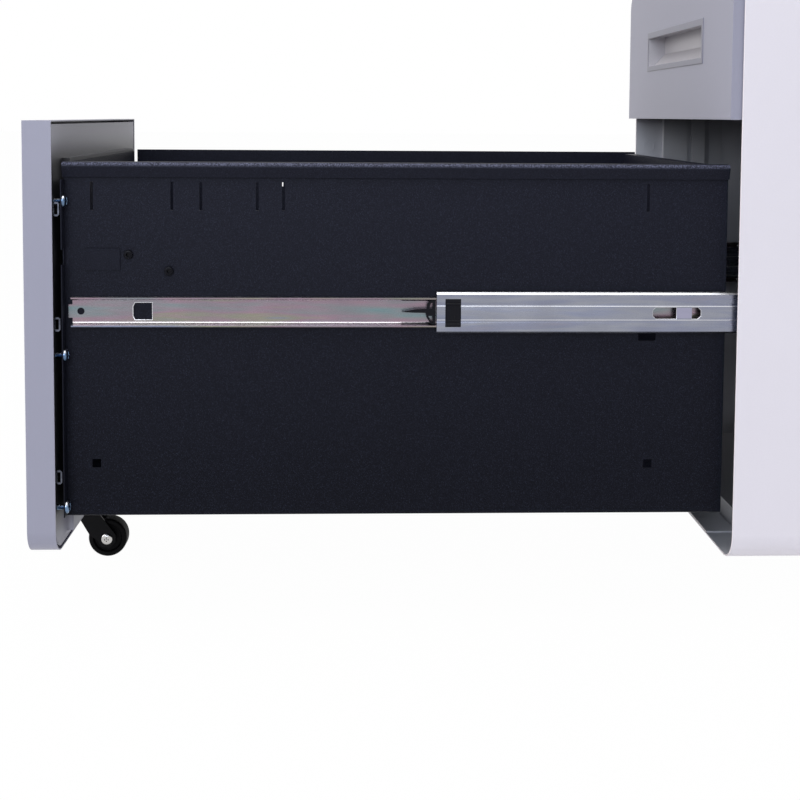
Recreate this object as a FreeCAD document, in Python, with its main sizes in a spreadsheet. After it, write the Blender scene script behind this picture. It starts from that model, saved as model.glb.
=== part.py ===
import FreeCAD, Part
import math
import os
import Sketcher

# Mobile filing cabinet with a box drawer over a file drawer, millimetres.
# X points to the right seen from the front, the front faces -Y, Z points up.
# The origin lies on the floor, in the middle of the width, under the shell's front edge.
# The file drawer stands fully pulled out and the box drawer is shut.

SIZES = {
    # wrap-around shell
    "shell_width": 400,
    "shell_depth": 600,
    "shell_bottom": 58,
    "shell_height": 532,
    "shell_sheet": 1.5,
    "shell_corner": 25,
    "hem_half_width": 122,
    "hem_depth": 27,
    "notch_width": 36,
    "notch_depth": 24,
    "back_inset": 1,
    "back_flange": 12.5,
    "seat_gap": 0.3,
    # posts and channels inside the shell
    "post_depth": 5,
    "post_sheet": 1,
    "post_front": 31,
    "post_width": 28,
    "post_groove": 5,
    "post_step": 15,
    "post_slope": 6,
    "post_foot": 15,
    "channel_front": 29,
    "channel_width": 120,
    "channel_height": 17.6,
    "channel_foot": 20,
    # drawer fronts
    "front_gap": 2,
    "front_reveal": 7.5,
    "front_thickness": 24,
    "front_proud": 9,
    "front_sheet": 1,
    "file_front_height": 367.6,
    "between_fronts": 4,
    "inner_pan_lip": 10,
    "field_half_width": 156,
    "field_depth": 6,
    "field_top_gap": 30.6,
    # drawer boxes
    "box_to_shell_back": 15,
    "box_sheet": 1,
    "file_box_lift": 30.3,
    "file_box_height": 303.3,
    "upper_box_lift": 10,
    "upper_box_height": 96,
    "rim_out": 6,
    "rim_height": 13,
    "rim_round": 4.5,
    "flange_width": 11.5,
    "back_drop": 2.2,
    "back_lip": 12,
    "rail_slot": 24,
    "rear_hole_back": 65,
    "tab_raise": 1.2,
    "stud_height": 3,
    # slides
    "open_clearance": 5,
    "slide_thickness": 12.7,
    "slide_sheet": 1.2,
    "slide_to_shell_back": 20,
    "middle_shorter": 10,
    "cabinet_member_height": 45.7,
    "middle_member_height": 34.5,
    "drawer_member_height": 24.8,
    "bumper_place": 7.2,
    "bumper_width": 13.3,
    "slot_place": 184.3,
    "slot_length": 41,
    "member_front": 30,
    "middle_front": 40.5,
    "drawer_member_front": 28,
    "latch_window": 51,
    "web_gap": 0.7,
    "race_depth": 0.4,
    "race_centre": 6.7,
    "ball_clearance": 0.06,
    "lever_gap": 4.6,
    "cage_length": 200,
    "cage_sheet": 0.5,
    "cage_margin": 1.2,
    "file_slide_height": 176.7,
    "upper_slide_height": 51.4,
    # casters under the base
    "caster_wheel": 40,
    "caster_tread": 18,
    "caster_trail": 22,
    "caster_in": 50,
    "caster_back": 105,
    "caster_axle": 6,
    "axle_clearance": 0.1,
    "kingpin": 8,
    "caster_plate": 46,
    "plate_sheet": 2,
    "crown_gap": 2.5,
    "crown_half": 15,
    "fork_sheet": 2,
    "fork_side_gap": 0.8,
    # caster that keeps the open drawer from tipping the cabinet
    "tip_wheel": 38,
    "tip_trail": 18,
    "tip_axle_head": 11,
    "tip_head_height": 2.3,
    # handle
    "handle_width": 215,
    "handle_height": 41.3,
    "handle_drop": 71,
    "handle_depth": 17,
    "handle_border": 5,
    "handle_wall": 1.6,
    # lock
    "lock_inset": 50,
    "file_notch_drop": 80,
    "upper_notch_lift": 20,
    "lock_drop": 20.6,
    "lock_barrel": 18,
    "lock_plug": 12,
    "lock_throw": 8,
    "lock_bar_sheet": 2,
    "bar_gap": 1.3,
    # fastenings
    "screw_shank": 5,
    "screw_head": 11,
    "screw_head_height": 3.2,
    "low_screw_lift": 9.7,
    "high_screw_drop": 33.1,
    "clip_drop": 6.5,
    "clip_lift": 27,
    "hole_clearance": 0.2,
}

doc = FreeCAD.newDocument("filing_cabinet")
sheet = doc.addObject("Spreadsheet::Sheet", "Sizes")


class Length:
    """A size of the sheet, or one worked out from others: its number and its expression."""

    def __init__(self, number, text):
        self.number = float(number)
        self.text = text

    def __add__(self, other):
        other = length(other)
        return Length(self.number + other.number, f"({self.text} + {other.text})")

    def __sub__(self, other):
        other = length(other)
        return Length(self.number - other.number, f"({self.text} - {other.text})")

    def __mul__(self, other):
        other = length(other)
        return Length(self.number * other.number, f"({self.text} * {other.text})")

    def __truediv__(self, other):
        other = length(other)
        return Length(self.number / other.number, f"({self.text} / {other.text})")

    def __neg__(self):
        return Length(-self.number, f"(-1 * {self.text})")

    def __radd__(self, other):
        return length(other) + self

    def __rsub__(self, other):
        return length(other) - self

    def __rmul__(self, other):
        return length(other) * self


def length(value):
    """Give any number the form of a Length."""
    if isinstance(value, Length):
        return value
    return Length(value, f"({float(value)!r})")


class Named:
    """Holds every size of the sheet under its own name."""


s = Named()
for row, (name, number) in enumerate(SIZES.items(), start=1):
    sheet.set(f"A{row}", name)
    sheet.set(f"B{row}", str(number))
    sheet.setAlias(f"B{row}", name)
    setattr(s, name, Length(number, f"Sizes.{name}"))
doc.recompute()

nodes = {}


def vector(x, y, z=0):
    return FreeCAD.Vector(float(x), float(y), float(z))


def node(name, thing):
    """Name a finished piece: its label is the name of its file."""
    thing.Label = name
    nodes[name] = thing
    return thing


def place(thing, x=0, y=0, z=0, axis=None, angle=0):
    """Put a piece at a point worked out from the sheet, turned about an axis first."""
    if axis:
        thing.Placement = FreeCAD.Placement(vector(0, 0), FreeCAD.Rotation(vector(*axis), angle))
    for direction, value in zip("xyz", (x, y, z)):
        thing.setExpression(f"Placement.Base.{direction}", length(value).text)
    return thing


def block(name, xs, ys, zs):
    """A rectangular block between two places on each axis."""
    box = doc.addObject("Part::Box", name)
    for side, (low, high) in zip(("Length", "Width", "Height"), (xs, ys, zs)):
        box.setExpression(side, (length(high) - low).text)
    return place(box, xs[0], ys[0], zs[0])


TURNS = {"x": ((0, 1, 0), 90), "y": ((1, 0, 0), -90), "z": (None, 0)}


def rod(name, axis, start, end, centre, radius):
    """A round bar along an axis, from start to end, about a centre given on the other two axes."""
    bar = doc.addObject("Part::Cylinder", name)
    bar.setExpression("Radius", length(radius).text)
    bar.setExpression("Height", (length(end) - start).text)
    point = {"x": (start, *centre), "y": (centre[0], start, centre[1]), "z": (*centre, start)}[axis]
    turn, angle = TURNS[axis]
    return place(bar, *point, axis=turn, angle=angle)


def prism(name, axis, start, end, centre, radius, sides):
    """Like rod, for a nut or a small round piece drawn light: its corners lie on the circle."""
    bar = doc.addObject("Part::Prism", name)
    bar.Polygon = sides
    bar.setExpression("Circumradius", length(radius).text)
    bar.setExpression("Height", (length(end) - start).text)
    point = {"x": (start, *centre), "y": (centre[0], start, centre[1]), "z": (*centre, start)}[axis]
    turn, angle = TURNS[axis]
    return place(bar, *point, axis=turn, angle=angle)


def ball(name, radius):
    """A steel ball drawn light, its low corner at the origin: a cube with all its edges cut back."""
    cube = block(name + "_cube", (0, radius * 2), (0, radius * 2), (0, radius * 2))
    cuts = doc.addObject("Part::Chamfer", name)
    cuts.Base = cube
    setback = radius.number * (2 - math.sqrt(2))
    cuts.Edges = [(edge, setback, setback) for edge in range(1, 13)]
    return cuts


def join(name, *things):
    joined = doc.addObject("Part::MultiFuse", name)
    joined.Shapes = list(things)
    joined.Refine = True
    return joined


def cut(name, base, *tools):
    tool = tools[0] if len(tools) == 1 else join(name + "_tools", *tools)
    result = doc.addObject("Part::Cut", name)
    result.Base = base
    result.Tool = tool
    return result


def group(name, *things):
    """Separate solids kept under one name."""
    compound = doc.addObject("Part::Compound", name)
    compound.Links = list(things)
    return compound


def mirrored(name, thing, normal=(1, 0, 0)):
    """The same piece on the other side of a plane through the origin."""
    other = doc.addObject("Part::Mirroring", name)
    other.Source = thing
    other.Normal = vector(*normal)
    return other


def copy_at(name, thing, x=0, y=0, z=0, axis=None, angle=0):
    """A copy of a piece that was made at the origin."""
    link = doc.addObject("App::Link", name)
    link.LinkedObject = thing
    return place(link, x, y, z, axis, angle)


def direction_between(first, second):
    across = second[0].number - first[0].number
    up = second[1].number - first[1].number
    size = math.hypot(across, up)
    return across / size, up / size


def outline(sketch, points):
    """Close a line through points (across, up); a third value rounds a square corner."""
    corners = [(length(p[0]), length(p[1]), length(p[2]) if len(p) > 2 else None) for p in points]
    count = len(corners)
    arrivals, departures = [], []
    for index, corner in enumerate(corners):
        before = direction_between(corners[index - 1], corner)
        after = direction_between(corner, corners[(index + 1) % count])
        if corner[2] is None:
            arrivals.append((corner[0], corner[1]))
            departures.append((corner[0], corner[1]))
            continue
        arrivals.append(tuple(corner[k] - corner[2] * round(before[k]) for k in (0, 1)))
        departures.append(tuple(corner[k] + corner[2] * round(after[k]) for k in (0, 1)))
    lines = []
    for index in range(count):
        start, end = departures[index], arrivals[(index + 1) % count]
        ends = [vector(across.number, up.number) for across, up in (start, end)]
        lines.append(sketch.addGeometry(Part.LineSegment(*ends), False))
    for index, corner in enumerate(corners):
        fix(sketch, lines[index], 1, departures[index])
        incoming = lines[index - 1]
        if corner[2] is None:
            sketch.addConstraint(Sketcher.Constraint("Coincident", incoming, 2, lines[index], 1))
            continue
        fix(sketch, incoming, 2, arrivals[index])
        round_corner(sketch, incoming, lines[index], arrivals[index], departures[index], corner)


def fix(sketch, line, end, point):
    """Hold one end of a line at its distances from the sketch's origin."""
    for kind, value in zip(("DistanceX", "DistanceY"), point):
        number = sketch.addConstraint(Sketcher.Constraint(kind, -1, 1, line, end, value.number))
        sketch.setExpression(f"Constraints[{number}]", value.text)


def round_corner(sketch, incoming, outgoing, arrival, departure, corner):
    """The arc of a rounded square corner, between the two lines that end there."""
    radius = corner[2].number
    centre = vector(
        arrival[0].number + departure[0].number - corner[0].number,
        arrival[1].number + departure[1].number - corner[1].number,
    )
    first = vector(arrival[0].number, arrival[1].number) - centre
    last = vector(departure[0].number, departure[1].number) - centre
    leftwards = first.x * last.y - first.y * last.x > 0
    begin, finish = (first, last) if leftwards else (last, first)
    circle = Part.Circle(centre, vector(0, 0, 1), radius)
    arc = Part.ArcOfCircle(circle, math.atan2(begin.y, begin.x), math.atan2(finish.y, finish.x))
    arc_number = sketch.addGeometry(arc, False)
    near, far = (1, 2) if leftwards else (2, 1)
    sketch.addConstraint(Sketcher.Constraint("Coincident", incoming, 2, arc_number, near))
    sketch.addConstraint(Sketcher.Constraint("Coincident", arc_number, far, outgoing, 1))
    number = sketch.addConstraint(Sketcher.Constraint("Radius", arc_number, radius))
    sketch.setExpression(f"Constraints[{number}]", corner[2].text)


def hole_circle(sketch, across, up, radius):
    """A circle in a sketch."""
    across, up, radius = length(across), length(up), length(radius)
    circle = Part.Circle(vector(across.number, up.number), vector(0, 0, 1), radius.number)
    number = sketch.addGeometry(circle, False)
    fix(sketch, number, 3, (across, up))
    bound = sketch.addConstraint(Sketcher.Constraint("Radius", number, radius.number))
    sketch.setExpression(f"Constraints[{bound}]", radius.text)


def sketch_on(body, name, plane, offset, *outlines):
    """A sketch on one of the body's own planes: each outline is points, or a circle's three values."""
    planes = {feature.Role: feature for feature in body.Origin.OriginFeatures}
    sketch = body.newObject("Sketcher::SketchObject", name)
    sketch.AttachmentSupport = (planes[plane + "_Plane"], [""])
    sketch.MapMode = "FlatFace"
    sketch.setExpression(".AttachmentOffset.Base.z", length(offset).text)
    for points in outlines:
        if isinstance(points, tuple):
            hole_circle(sketch, *points)
        else:
            outline(sketch, points)
    return sketch


def extruded(name, plane, low, high, *outlines):
    """A body pushed from a profile between two places along the plane's axis."""
    body = doc.addObject("PartDesign::Body", name)
    add_pad(body, name + "_pad", plane, low, high, *outlines)
    return body


def add_pad(body, name, plane, low, high, *outlines):
    """One more pad of a body. The XZ plane faces -Y, so its sketch lies at the high end."""
    low, high = length(low), length(high)
    offset = -high if plane == "XZ" else low
    pad = body.newObject("PartDesign::Pad", name)
    pad.Profile = sketch_on(body, name + "_profile", plane, offset, *outlines)
    pad.setExpression("Length", (high - low).text)
    body.Tip = pad
    return pad


def add_pocket(body, name, plane, low, high, *outlines):
    """Cut a body between two places along the plane's axis, against the sketch's direction."""
    low, high = length(low), length(high)
    offset = -low if plane == "XZ" else high
    pocket = body.newObject("PartDesign::Pocket", name)
    pocket.Profile = sketch_on(body, name + "_profile", plane, offset, *outlines)
    pocket.setExpression("Length", (high - low).text)
    body.Tip = pocket
    return pocket


def ring(across, up, radius, sides):
    """The corners of a small round hole drawn light, on its circle."""
    turns = [2 * math.pi * number / sides for number in range(sides)]
    return [(across + radius * math.cos(turn), up + radius * math.sin(turn)) for turn in turns]


def rectangle(left, right, low, high, *corner):
    return [(left, low, *corner), (right, low, *corner), (right, high, *corner), (left, high, *corner)]


# Places worked out from the sizes
shell_top = s.shell_bottom + s.shell_height
wall_in = s.shell_width / 2 - s.shell_sheet
floor_in = s.shell_bottom + s.shell_sheet
ceiling_in = shell_top - s.shell_sheet
post_in = wall_in - s.post_depth
box_half = post_in - s.slide_thickness
front_half = wall_in - s.front_gap
front_corner = s.shell_corner - s.shell_sheet - s.front_gap
front_back_shut = s.front_thickness - s.front_proud
box_front_shut = front_back_shut + s.field_depth
box_length = s.shell_depth - s.box_to_shell_back - box_front_shut
travel = box_front_shut + box_length + s.open_clearance
slide_length = s.shell_depth - s.slide_to_shell_back - s.member_front
middle_length = slide_length - s.middle_shorter
file_front_low = floor_in + s.front_reveal
file_front_high = file_front_low + s.file_front_height
upper_front_low = file_front_high + s.between_fronts
upper_front_high = ceiling_in - s.front_reveal
file_box_low = file_front_low + s.file_box_lift
file_box_high = file_box_low + s.file_box_height
upper_box_low = upper_front_low + s.upper_box_lift
upper_box_high = upper_box_low + s.upper_box_height
file_slide_z = file_box_low + s.file_slide_height
upper_slide_z = upper_box_low + s.upper_slide_height
screw_x = box_half + s.flange_width / 2
flange_edge = box_half + s.flange_width
handle_z = {"file": file_front_high - s.handle_drop, "upper": upper_front_high - s.handle_drop}
lock_x = s.shell_width / 2 - s.lock_inset
lock_z = upper_front_high - s.lock_drop
lock_pin_swing = s.lock_throw / math.sqrt(2)

# Outer shell: one steel sheet bent round into a tube with four rounded corners,
# with its bottom front edge folded back and notched for the tipping caster's stem
half_width = s.shell_width / 2
outer_shell = extruded(
    "outer_shell", "XZ", 0, s.shell_depth,
    rectangle(-half_width, half_width, s.shell_bottom, shell_top, s.shell_corner),
    rectangle(-wall_in, wall_in, floor_in, ceiling_in, s.shell_corner - s.shell_sheet),
)
add_pad(
    outer_shell, "shell_hem", "XY", floor_in, floor_in + s.shell_sheet,
    rectangle(-s.hem_half_width, s.hem_half_width, 0, s.hem_depth),
)
half_notch = s.notch_width / 2
add_pocket(
    outer_shell, "stem_notch", "XY", s.shell_bottom - 1, floor_in + s.shell_sheet + 1,
    [(-half_notch, -1), (half_notch, -1), (half_notch, s.notch_depth, 6), (-half_notch, s.notch_depth, 6)],
)
node("outer_shell", outer_shell)

# Back panel: a shallow pan set into the back of the shell
pan_half = wall_in - s.seat_gap
pan_corner = s.shell_corner - s.shell_sheet - s.seat_gap
pan_back = s.shell_depth - s.back_inset
back_panel = extruded(
    "back_panel", "XZ", pan_back - s.back_flange, pan_back,
    rectangle(-pan_half, pan_half, floor_in + s.seat_gap, ceiling_in - s.seat_gap, pan_corner),
)
pan_rim = s.seat_gap + s.post_sheet
add_pocket(
    back_panel, "back_hollow", "XZ", pan_back - s.back_flange + s.post_sheet, pan_back + 1,
    rectangle(
        -wall_in + pan_rim, wall_in - pan_rim, floor_in + pan_rim, ceiling_in - pan_rim,
        pan_corner - s.post_sheet,
    ),
)
node("back_panel", back_panel)

# Base channels: folded across the bottom, front and back, to carry the casters
channel_half = s.shell_width / 2 - s.shell_corner - 3
channel_top = floor_in + s.channel_height


def channel(name, front):
    back = front + s.channel_width
    t = s.shell_sheet
    profile = [
        (front, floor_in), (front, channel_top), (back, channel_top), (back, floor_in),
        (back - s.channel_foot, floor_in), (back - s.channel_foot, floor_in + t),
        (back - t, floor_in + t), (back - t, channel_top - t), (front + t, channel_top - t),
        (front + t, floor_in + t), (front + s.channel_foot, floor_in + t), (front + s.channel_foot, floor_in),
    ]
    return node(name, extruded(name, "YZ", -channel_half, channel_half, profile))


channel("front_base_channel", s.channel_front)
channel("rear_base_channel", s.shell_depth - s.channel_front - s.channel_width)

# Posts: folded sheet against the side walls. The front ones have a deep groove
# and a sloping side, and the slides are riveted to them
post_low = s.shell_bottom + s.shell_corner + 1
post_high = shell_top - s.shell_corner - 1
post_t = s.post_sheet
p1 = s.post_front
p2 = p1 + s.post_width
p3 = p2 + s.post_groove
p4 = p3 + s.post_step
p5 = p4 + s.post_slope
p6 = p5 + s.post_foot
right_front_post = extruded(
    "right_front_post", "XY", post_low, post_high,
    [
        (wall_in, p1), (post_in, p1), (post_in, p2), (wall_in - post_t, p2), (wall_in - post_t, p3),
        (post_in, p3), (post_in, p4), (wall_in - post_t, p5), (wall_in - post_t, p6), (wall_in, p6),
        (wall_in, p5), (post_in + post_t, p4), (post_in + post_t, p3 + post_t), (wall_in, p3 + post_t),
        (wall_in, p2 - post_t), (post_in + post_t, p2 - post_t), (post_in + post_t, p1 + post_t),
        (wall_in, p1 + post_t),
    ],
)
node("right_front_post", right_front_post)
node("left_front_post", mirrored("left_front_post", right_front_post))
rear_post_end = s.member_front + slide_length - 12
rear_post_start = rear_post_end - s.post_width
right_rear_post = extruded(
    "right_rear_post", "XY", post_low, post_high,
    [
        (wall_in, rear_post_start), (post_in, rear_post_start), (post_in, rear_post_end),
        (wall_in, rear_post_end), (wall_in, rear_post_end - post_t),
        (post_in + post_t, rear_post_end - post_t), (post_in + post_t, rear_post_start + post_t),
        (wall_in, rear_post_start + post_t),
    ],
)
node("rear_posts", group("rear_posts", right_rear_post, mirrored("left_rear_post", right_rear_post)))

# Telescopic slides: three rolled members inside each other, with balls between their lips.
# Sections are drawn for the right side, from the box wall outwards, about the slide's middle line
t = s.slide_sheet
cabinet_half = s.cabinet_member_height / 2
middle_half = s.middle_member_height / 2
drawer_half = s.drawer_member_height / 2
slide_out = box_half + s.slide_thickness
cabinet_web = slide_out - t
middle_out = cabinet_web - s.web_gap
middle_web = middle_out - t
race = s.race_depth


def both_halves(z, upper):
    """A closed section from its upper half, given from the outer middle to the inner middle."""
    above = [(x, z + up) for x, up in upper]
    below = [(x, z - up) for x, up in reversed(upper)]
    return above + below


race_x = box_half + s.race_centre


def cabinet_section(z):
    lip = box_half + 3.5
    return both_halves(z, [
        (slide_out, cabinet_half), (lip, cabinet_half), (lip, cabinet_half - t),
        (race_x - 1.6, cabinet_half - t), (race_x - 1.1, cabinet_half - t + race),
        (race_x + 1.1, cabinet_half - t + race), (race_x + 1.6, cabinet_half - t),
        (cabinet_web, cabinet_half - t),
    ])


def middle_section(z):
    lip = box_half + 2
    bead = 0.6
    return both_halves(z, [
        (middle_out, 5.6), (middle_out - bead, 6.2), (middle_out - bead, 8.0), (middle_out, 8.6),
        (middle_out, middle_half - 1.5), (middle_out - 1.5, middle_half), (race_x + 1.6, middle_half),
        (race_x + 1.1, middle_half - race), (race_x - 1.1, middle_half - race), (race_x - 1.6, middle_half),
        (lip, middle_half), (lip, middle_half - t), (middle_web - 0.6, middle_half - t),
        (middle_web, middle_half - t - 0.6), (middle_web, 8.9), (middle_web - bead, 8.3),
        (middle_web - bead, 5.9), (middle_web, 5.3),
    ])


def drawer_section(z):
    lip = box_half + 8.3
    return both_halves(z, [
        (lip, drawer_half), (box_half + 1.6, drawer_half), (box_half, drawer_half - 3),
    ][::-1] + [
        (lip, drawer_half - t), (box_half + 2.2, drawer_half - t), (box_half + t, drawer_half - 3.4),
    ])


def cabinet_member(name, z):
    """The outermost member, with its web against the posts."""
    return extruded(name, "XZ", s.member_front, s.member_front + slide_length, cabinet_section(z))


def middle_member(name, z, shift):
    """The middle member: a window for its bumper, and two slots with a bridge between them."""
    front = s.middle_front - shift
    body = extruded(name, "XZ", front, front + middle_length, middle_section(z))
    window_front = front + s.bumper_place
    window = rectangle(window_front, window_front + s.bumper_width, z - 12, z + 12)
    slot_front = front + s.slot_place
    slot_back = slot_front + s.slot_length
    long_slot = [
        (slot_front, z - 2.4), (slot_front + 2.4, z - 4.8), (slot_front + 20, z - 4.8),
        (slot_front + 20, z + 4.8), (slot_front + 2.4, z + 4.8), (slot_front, z + 2.4),
    ]
    short_slot = [
        (slot_back - 7.5, z - 4.8), (slot_back - 2.4, z - 4.8), (slot_back, z - 2.4),
        (slot_back, z + 2.4), (slot_back - 2.4, z + 4.8), (slot_back - 7.5, z + 4.8),
    ]
    add_pocket(
        body, f"{name}_openings", "YZ", middle_web - 1.2, middle_out + 1, window, long_slot, short_slot,
    )
    return body


def drawer_member(name, z, shift):
    """The member on the drawer's side wall: a hole in front, and a window behind it."""
    front = s.drawer_member_front - shift
    body = extruded(name, "XZ", front, front + slide_length, drawer_section(z))
    window_front = front + s.latch_window
    window_back = window_front + 15.5
    window = [
        (window_front, z - 4), (window_front + 1.5, z - 7), (window_back, z - 7),
        (window_back, z + 7), (window_front + 1.5, z + 7), (window_front, z + 4),
    ]
    add_pocket(
        body, f"{name}_openings", "YZ", box_half - 1, box_half + t + 1,
        ring(front + 7, z, 3.1, 10), window,
    )
    tongue = rectangle(front - 3.4, front, z - 5.7, z + 5.7)
    add_pad(body, f"{name}_tongue", "YZ", box_half, box_half + t, tongue)
    return body


def bumper(name, z, shift):
    """Rubber block in the middle member's window, which takes the drawer member's stop."""
    front = s.middle_front - shift + s.bumper_place + s.seat_gap / 2
    back = front + s.bumper_width - s.seat_gap
    low, high = z - 12 + s.seat_gap / 2, z + 12 - s.seat_gap / 2
    plug = block(name + "_plug", (middle_web - 1, middle_out + 0.4), (front, back), (low, high))
    dent = block(
        name + "_dent", (middle_out - 0.6, middle_out + 1), (front + 3, back - 3), (z - 7, z + 7)
    )
    return cut(name, plug, dent)


def release_lever(name, z, shift):
    """Bent plastic lever: a loop round the pivot and a tapering tail towards the front."""
    pivot = s.middle_front + travel / 2 - s.lever_gap - shift
    x_low = box_half + t + 0.9
    x_high = box_half + 7.6
    body = extruded(
        name + "_loop", "YZ", x_low, x_high,
        [
            (pivot + 3.6, z - 10.4), (pivot + 3.6, z + 10.4), (pivot - 0.4, z + 10.4), (pivot - 3.4, z + 7.6),
            (pivot - 4, z + 3.2), (pivot - 15, z + 2.6), (pivot - 25, z + 0.4), (pivot - 15, z - 0.2),
            (pivot - 4.6, z - 0.4), (pivot - 4, z - 4), (pivot - 0.8, z - 9.2), (pivot + 1, z - 10.4),
        ],
        [(pivot - 1.8, z + 3.4), (pivot + 1.2, z + 3.4), (pivot + 1.2, z + 8.4), (pivot - 0.2, z + 8)],
        [(pivot - 2.6, z - 3), (pivot + 1.2, z - 3), (pivot + 1.2, z - 9), (pivot - 0.6, z - 7)],
    )
    add_pad(body, name + "_boss", "YZ", box_half + t + s.hole_clearance, x_low + 1, (pivot, z, 2.4))
    return body


def ball_cage(name, side, z, front, rows, radius, x_middle):
    """Two strips on one side, above and below, each with its row of balls in windows."""
    half_strip = radius + s.cage_margin / 2
    half_window = radius + 0.05
    solids = []
    for edge, sign in (("top", 1), ("bottom", -1)):
        tag = f"{name}_{side}_{edge}"
        level = z + rows * sign
        low, high = level - s.cage_sheet / 2, level + s.cage_sheet / 2
        places = [front + s.cage_length * share for share in (0.1, 0.9)]
        solids.append(extruded(
            tag, "XY", low, high,
            rectangle(x_middle - half_strip, x_middle + half_strip, front, front + s.cage_length),
            *(rectangle(x_middle - half_window, x_middle + half_window, y - half_window, y + half_window)
              for y in places),
        ))
        for number, y in enumerate(places):
            corner = (x_middle - radius, y - radius, level - radius)
            solids.append(copy_at(f"{tag}_ball_{number}", steel_balls[radius.text], *corner))
    return solids


inner_gap = (middle_half - t) - drawer_half
outer_gap = (cabinet_half - t) - middle_half
inner_rows = drawer_half + inner_gap / 2
outer_rows = middle_half + outer_gap / 2
cage_shut = s.middle_front + (middle_length - s.cage_length) / 2
outer_ball = outer_gap / 2 + race - s.ball_clearance
inner_ball = inner_gap / 2 - s.ball_clearance
steel_balls = {
    outer_ball.text: ball("outer_ball", outer_ball),
    inner_ball.text: ball("inner_ball", inner_ball),
}


def slide_set(kind, z, shift):
    """All slide pieces of one drawer, right side made and left side mirrored."""
    outer_member = cabinet_member(f"{kind}_cabinet_member_right", z)
    middle = middle_member(f"{kind}_middle_member_right", z, shift / 2)
    inner_member = drawer_member(f"{kind}_drawer_member_right", z, shift)
    for part in (outer_member, middle, inner_member):
        right_name = part.Name
        left_name = right_name.replace("right", "left")
        node(right_name, part)
        node(left_name, mirrored(left_name, part))
    stop = bumper(f"{kind}_bumper", z, shift / 2)
    left_stop = mirrored(f"{kind}_bumper_left", stop)
    node(f"{kind}_slide_bumpers", group(f"{kind}_slide_bumpers", stop, left_stop))
    lever = release_lever(f"{kind}_lever", z, shift)
    left_lever = mirrored(f"{kind}_lever_left", lever)
    node(f"{kind}_release_levers", group(f"{kind}_release_levers", lever, left_lever))
    stages = (
        ("outer", shift / 4, outer_rows, outer_ball, race_x),
        ("inner", shift * 0.75, inner_rows, inner_ball, box_half + 5.3),
    )
    for stage, moved, rows, radius, x_middle in stages:
        name = f"{kind}_{stage}_ball_cages"
        right = ball_cage(name, "right", z, cage_shut - moved, rows, radius, x_middle)
        left = ball_cage(name, "left", z, cage_shut - moved, rows, radius, -x_middle)
        node(name, group(name, *right, *left))


slide_set("file", file_slide_z, travel)
slide_set("upper", upper_slide_z, length(0))


# Drawer boxes: a sheet folded up at both sides, with its rims rolled outwards and down,
# and a front wall whose flanges reach past the sides
def drawer_box(name, low, high, front, notch_z):
    back = front + box_length
    bs = s.box_sheet
    inner = box_half - bs
    rim = box_half + s.rim_out
    drop = high - s.rim_height
    right = [
        (box_half, low, 2), (box_half, high - bs), (rim - bs, high - bs, s.rim_round - bs), (rim - bs, drop),
        (rim, drop), (rim, high, s.rim_round), (inner, high), (inner, low + bs),
    ]
    left = [(-p[0], *p[1:]) for p in reversed(right)]
    body = extruded(name, "XZ", front, back, right + left)
    wall_top = high - s.rim_height - 2
    add_pad(
        body, name + "_front_wall", "XZ", front, front + bs,
        [
            (-flange_edge, low + 2), (flange_edge, low + 2), (flange_edge, wall_top),
            (s.field_half_width - 2, wall_top), (s.field_half_width - 2, high - 1),
            (-s.field_half_width + 2, high - 1), (-s.field_half_width + 2, wall_top),
            (-flange_edge, wall_top),
        ],
    )
    tab_low, tab_high = notch_z - 6.5, notch_z + 6.5
    add_pocket(
        body, name + "_lock_notch", "XZ", front - 1, front + bs + 1,
        rectangle(flange_edge - 7.5, flange_edge + 1, tab_low, tab_high),
    )
    return body


def box_back(name, low, high, front):
    """The box's back wall: a pan whose lips turn backwards, flush with the ends of the sides."""
    back = front + box_length - s.box_sheet
    bs = s.box_sheet
    half = box_half - bs - s.seat_gap
    floor = low + bs + s.seat_gap / 2
    top = high - s.back_drop
    body = extruded(name, "XZ", back - s.back_lip, back, rectangle(-half, half, floor, top))
    add_pocket(
        body, name + "_hollow", "XZ", back - s.back_lip + bs, back + 1,
        rectangle(-half + bs, half - bs, floor + bs, top - bs),
    )
    return body


file_box_front = box_front_shut - travel
file_lock_z = file_box_high - s.file_notch_drop
upper_lock_z = upper_box_low + s.upper_notch_lift
file_box = drawer_box("file_box", file_box_low, file_box_high, file_box_front, file_lock_z)

# Holes through both side walls of the file box: slots for rails, square and long holes
slot_top = file_box_high - 17
rear_hole_y = file_box_front + box_length - s.rear_hole_back
slot_places = [file_box_front + distance for distance in (23.5, 90.6, 115, 162.5, 184.6)]
side_holes = [
    rectangle(y - 1.25, y + 1.25, slot_top - s.rail_slot, slot_top)
    for y in (*slot_places, rear_hole_y - 3.5)
]
for y, z in ((file_box_front + 25.8, file_box_low + 45.7), (rear_hole_y, file_box_low + 43.7)):
    side_holes.append(rectangle(y - 3.7, y + 3.7, z - 3.7, z + 3.7))
long_hole_top = file_slide_z - middle_half
side_holes.append(rectangle(rear_hole_y - 10, rear_hole_y + 5, long_hole_top - 8.4, long_hole_top))
add_pocket(file_box, "file_box_side_holes", "YZ", -box_half - 1, box_half + 1, *side_holes)

# Pressed tab on each side wall of the file box, raised outwards
tab_front = file_box_front + 18.6
tab_low = file_slide_z + 34.8
for name, outer in (("right", box_half), ("left", -box_half - s.tab_raise)):
    add_pad(
        file_box, f"file_box_{name}_tab", "YZ", outer, outer + s.tab_raise,
        rectangle(tab_front, tab_front + 28.4, tab_low, tab_low + 18.2),
    )
node("file_box", file_box)
node("file_box_back", box_back("file_box_back", file_box_low, file_box_high, file_box_front))
upper_box = drawer_box("upper_box", upper_box_low, upper_box_high, box_front_shut, upper_lock_z)
node("upper_box", upper_box)
node("upper_box_back", box_back("upper_box_back", upper_box_low, upper_box_high, box_front_shut))

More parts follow.
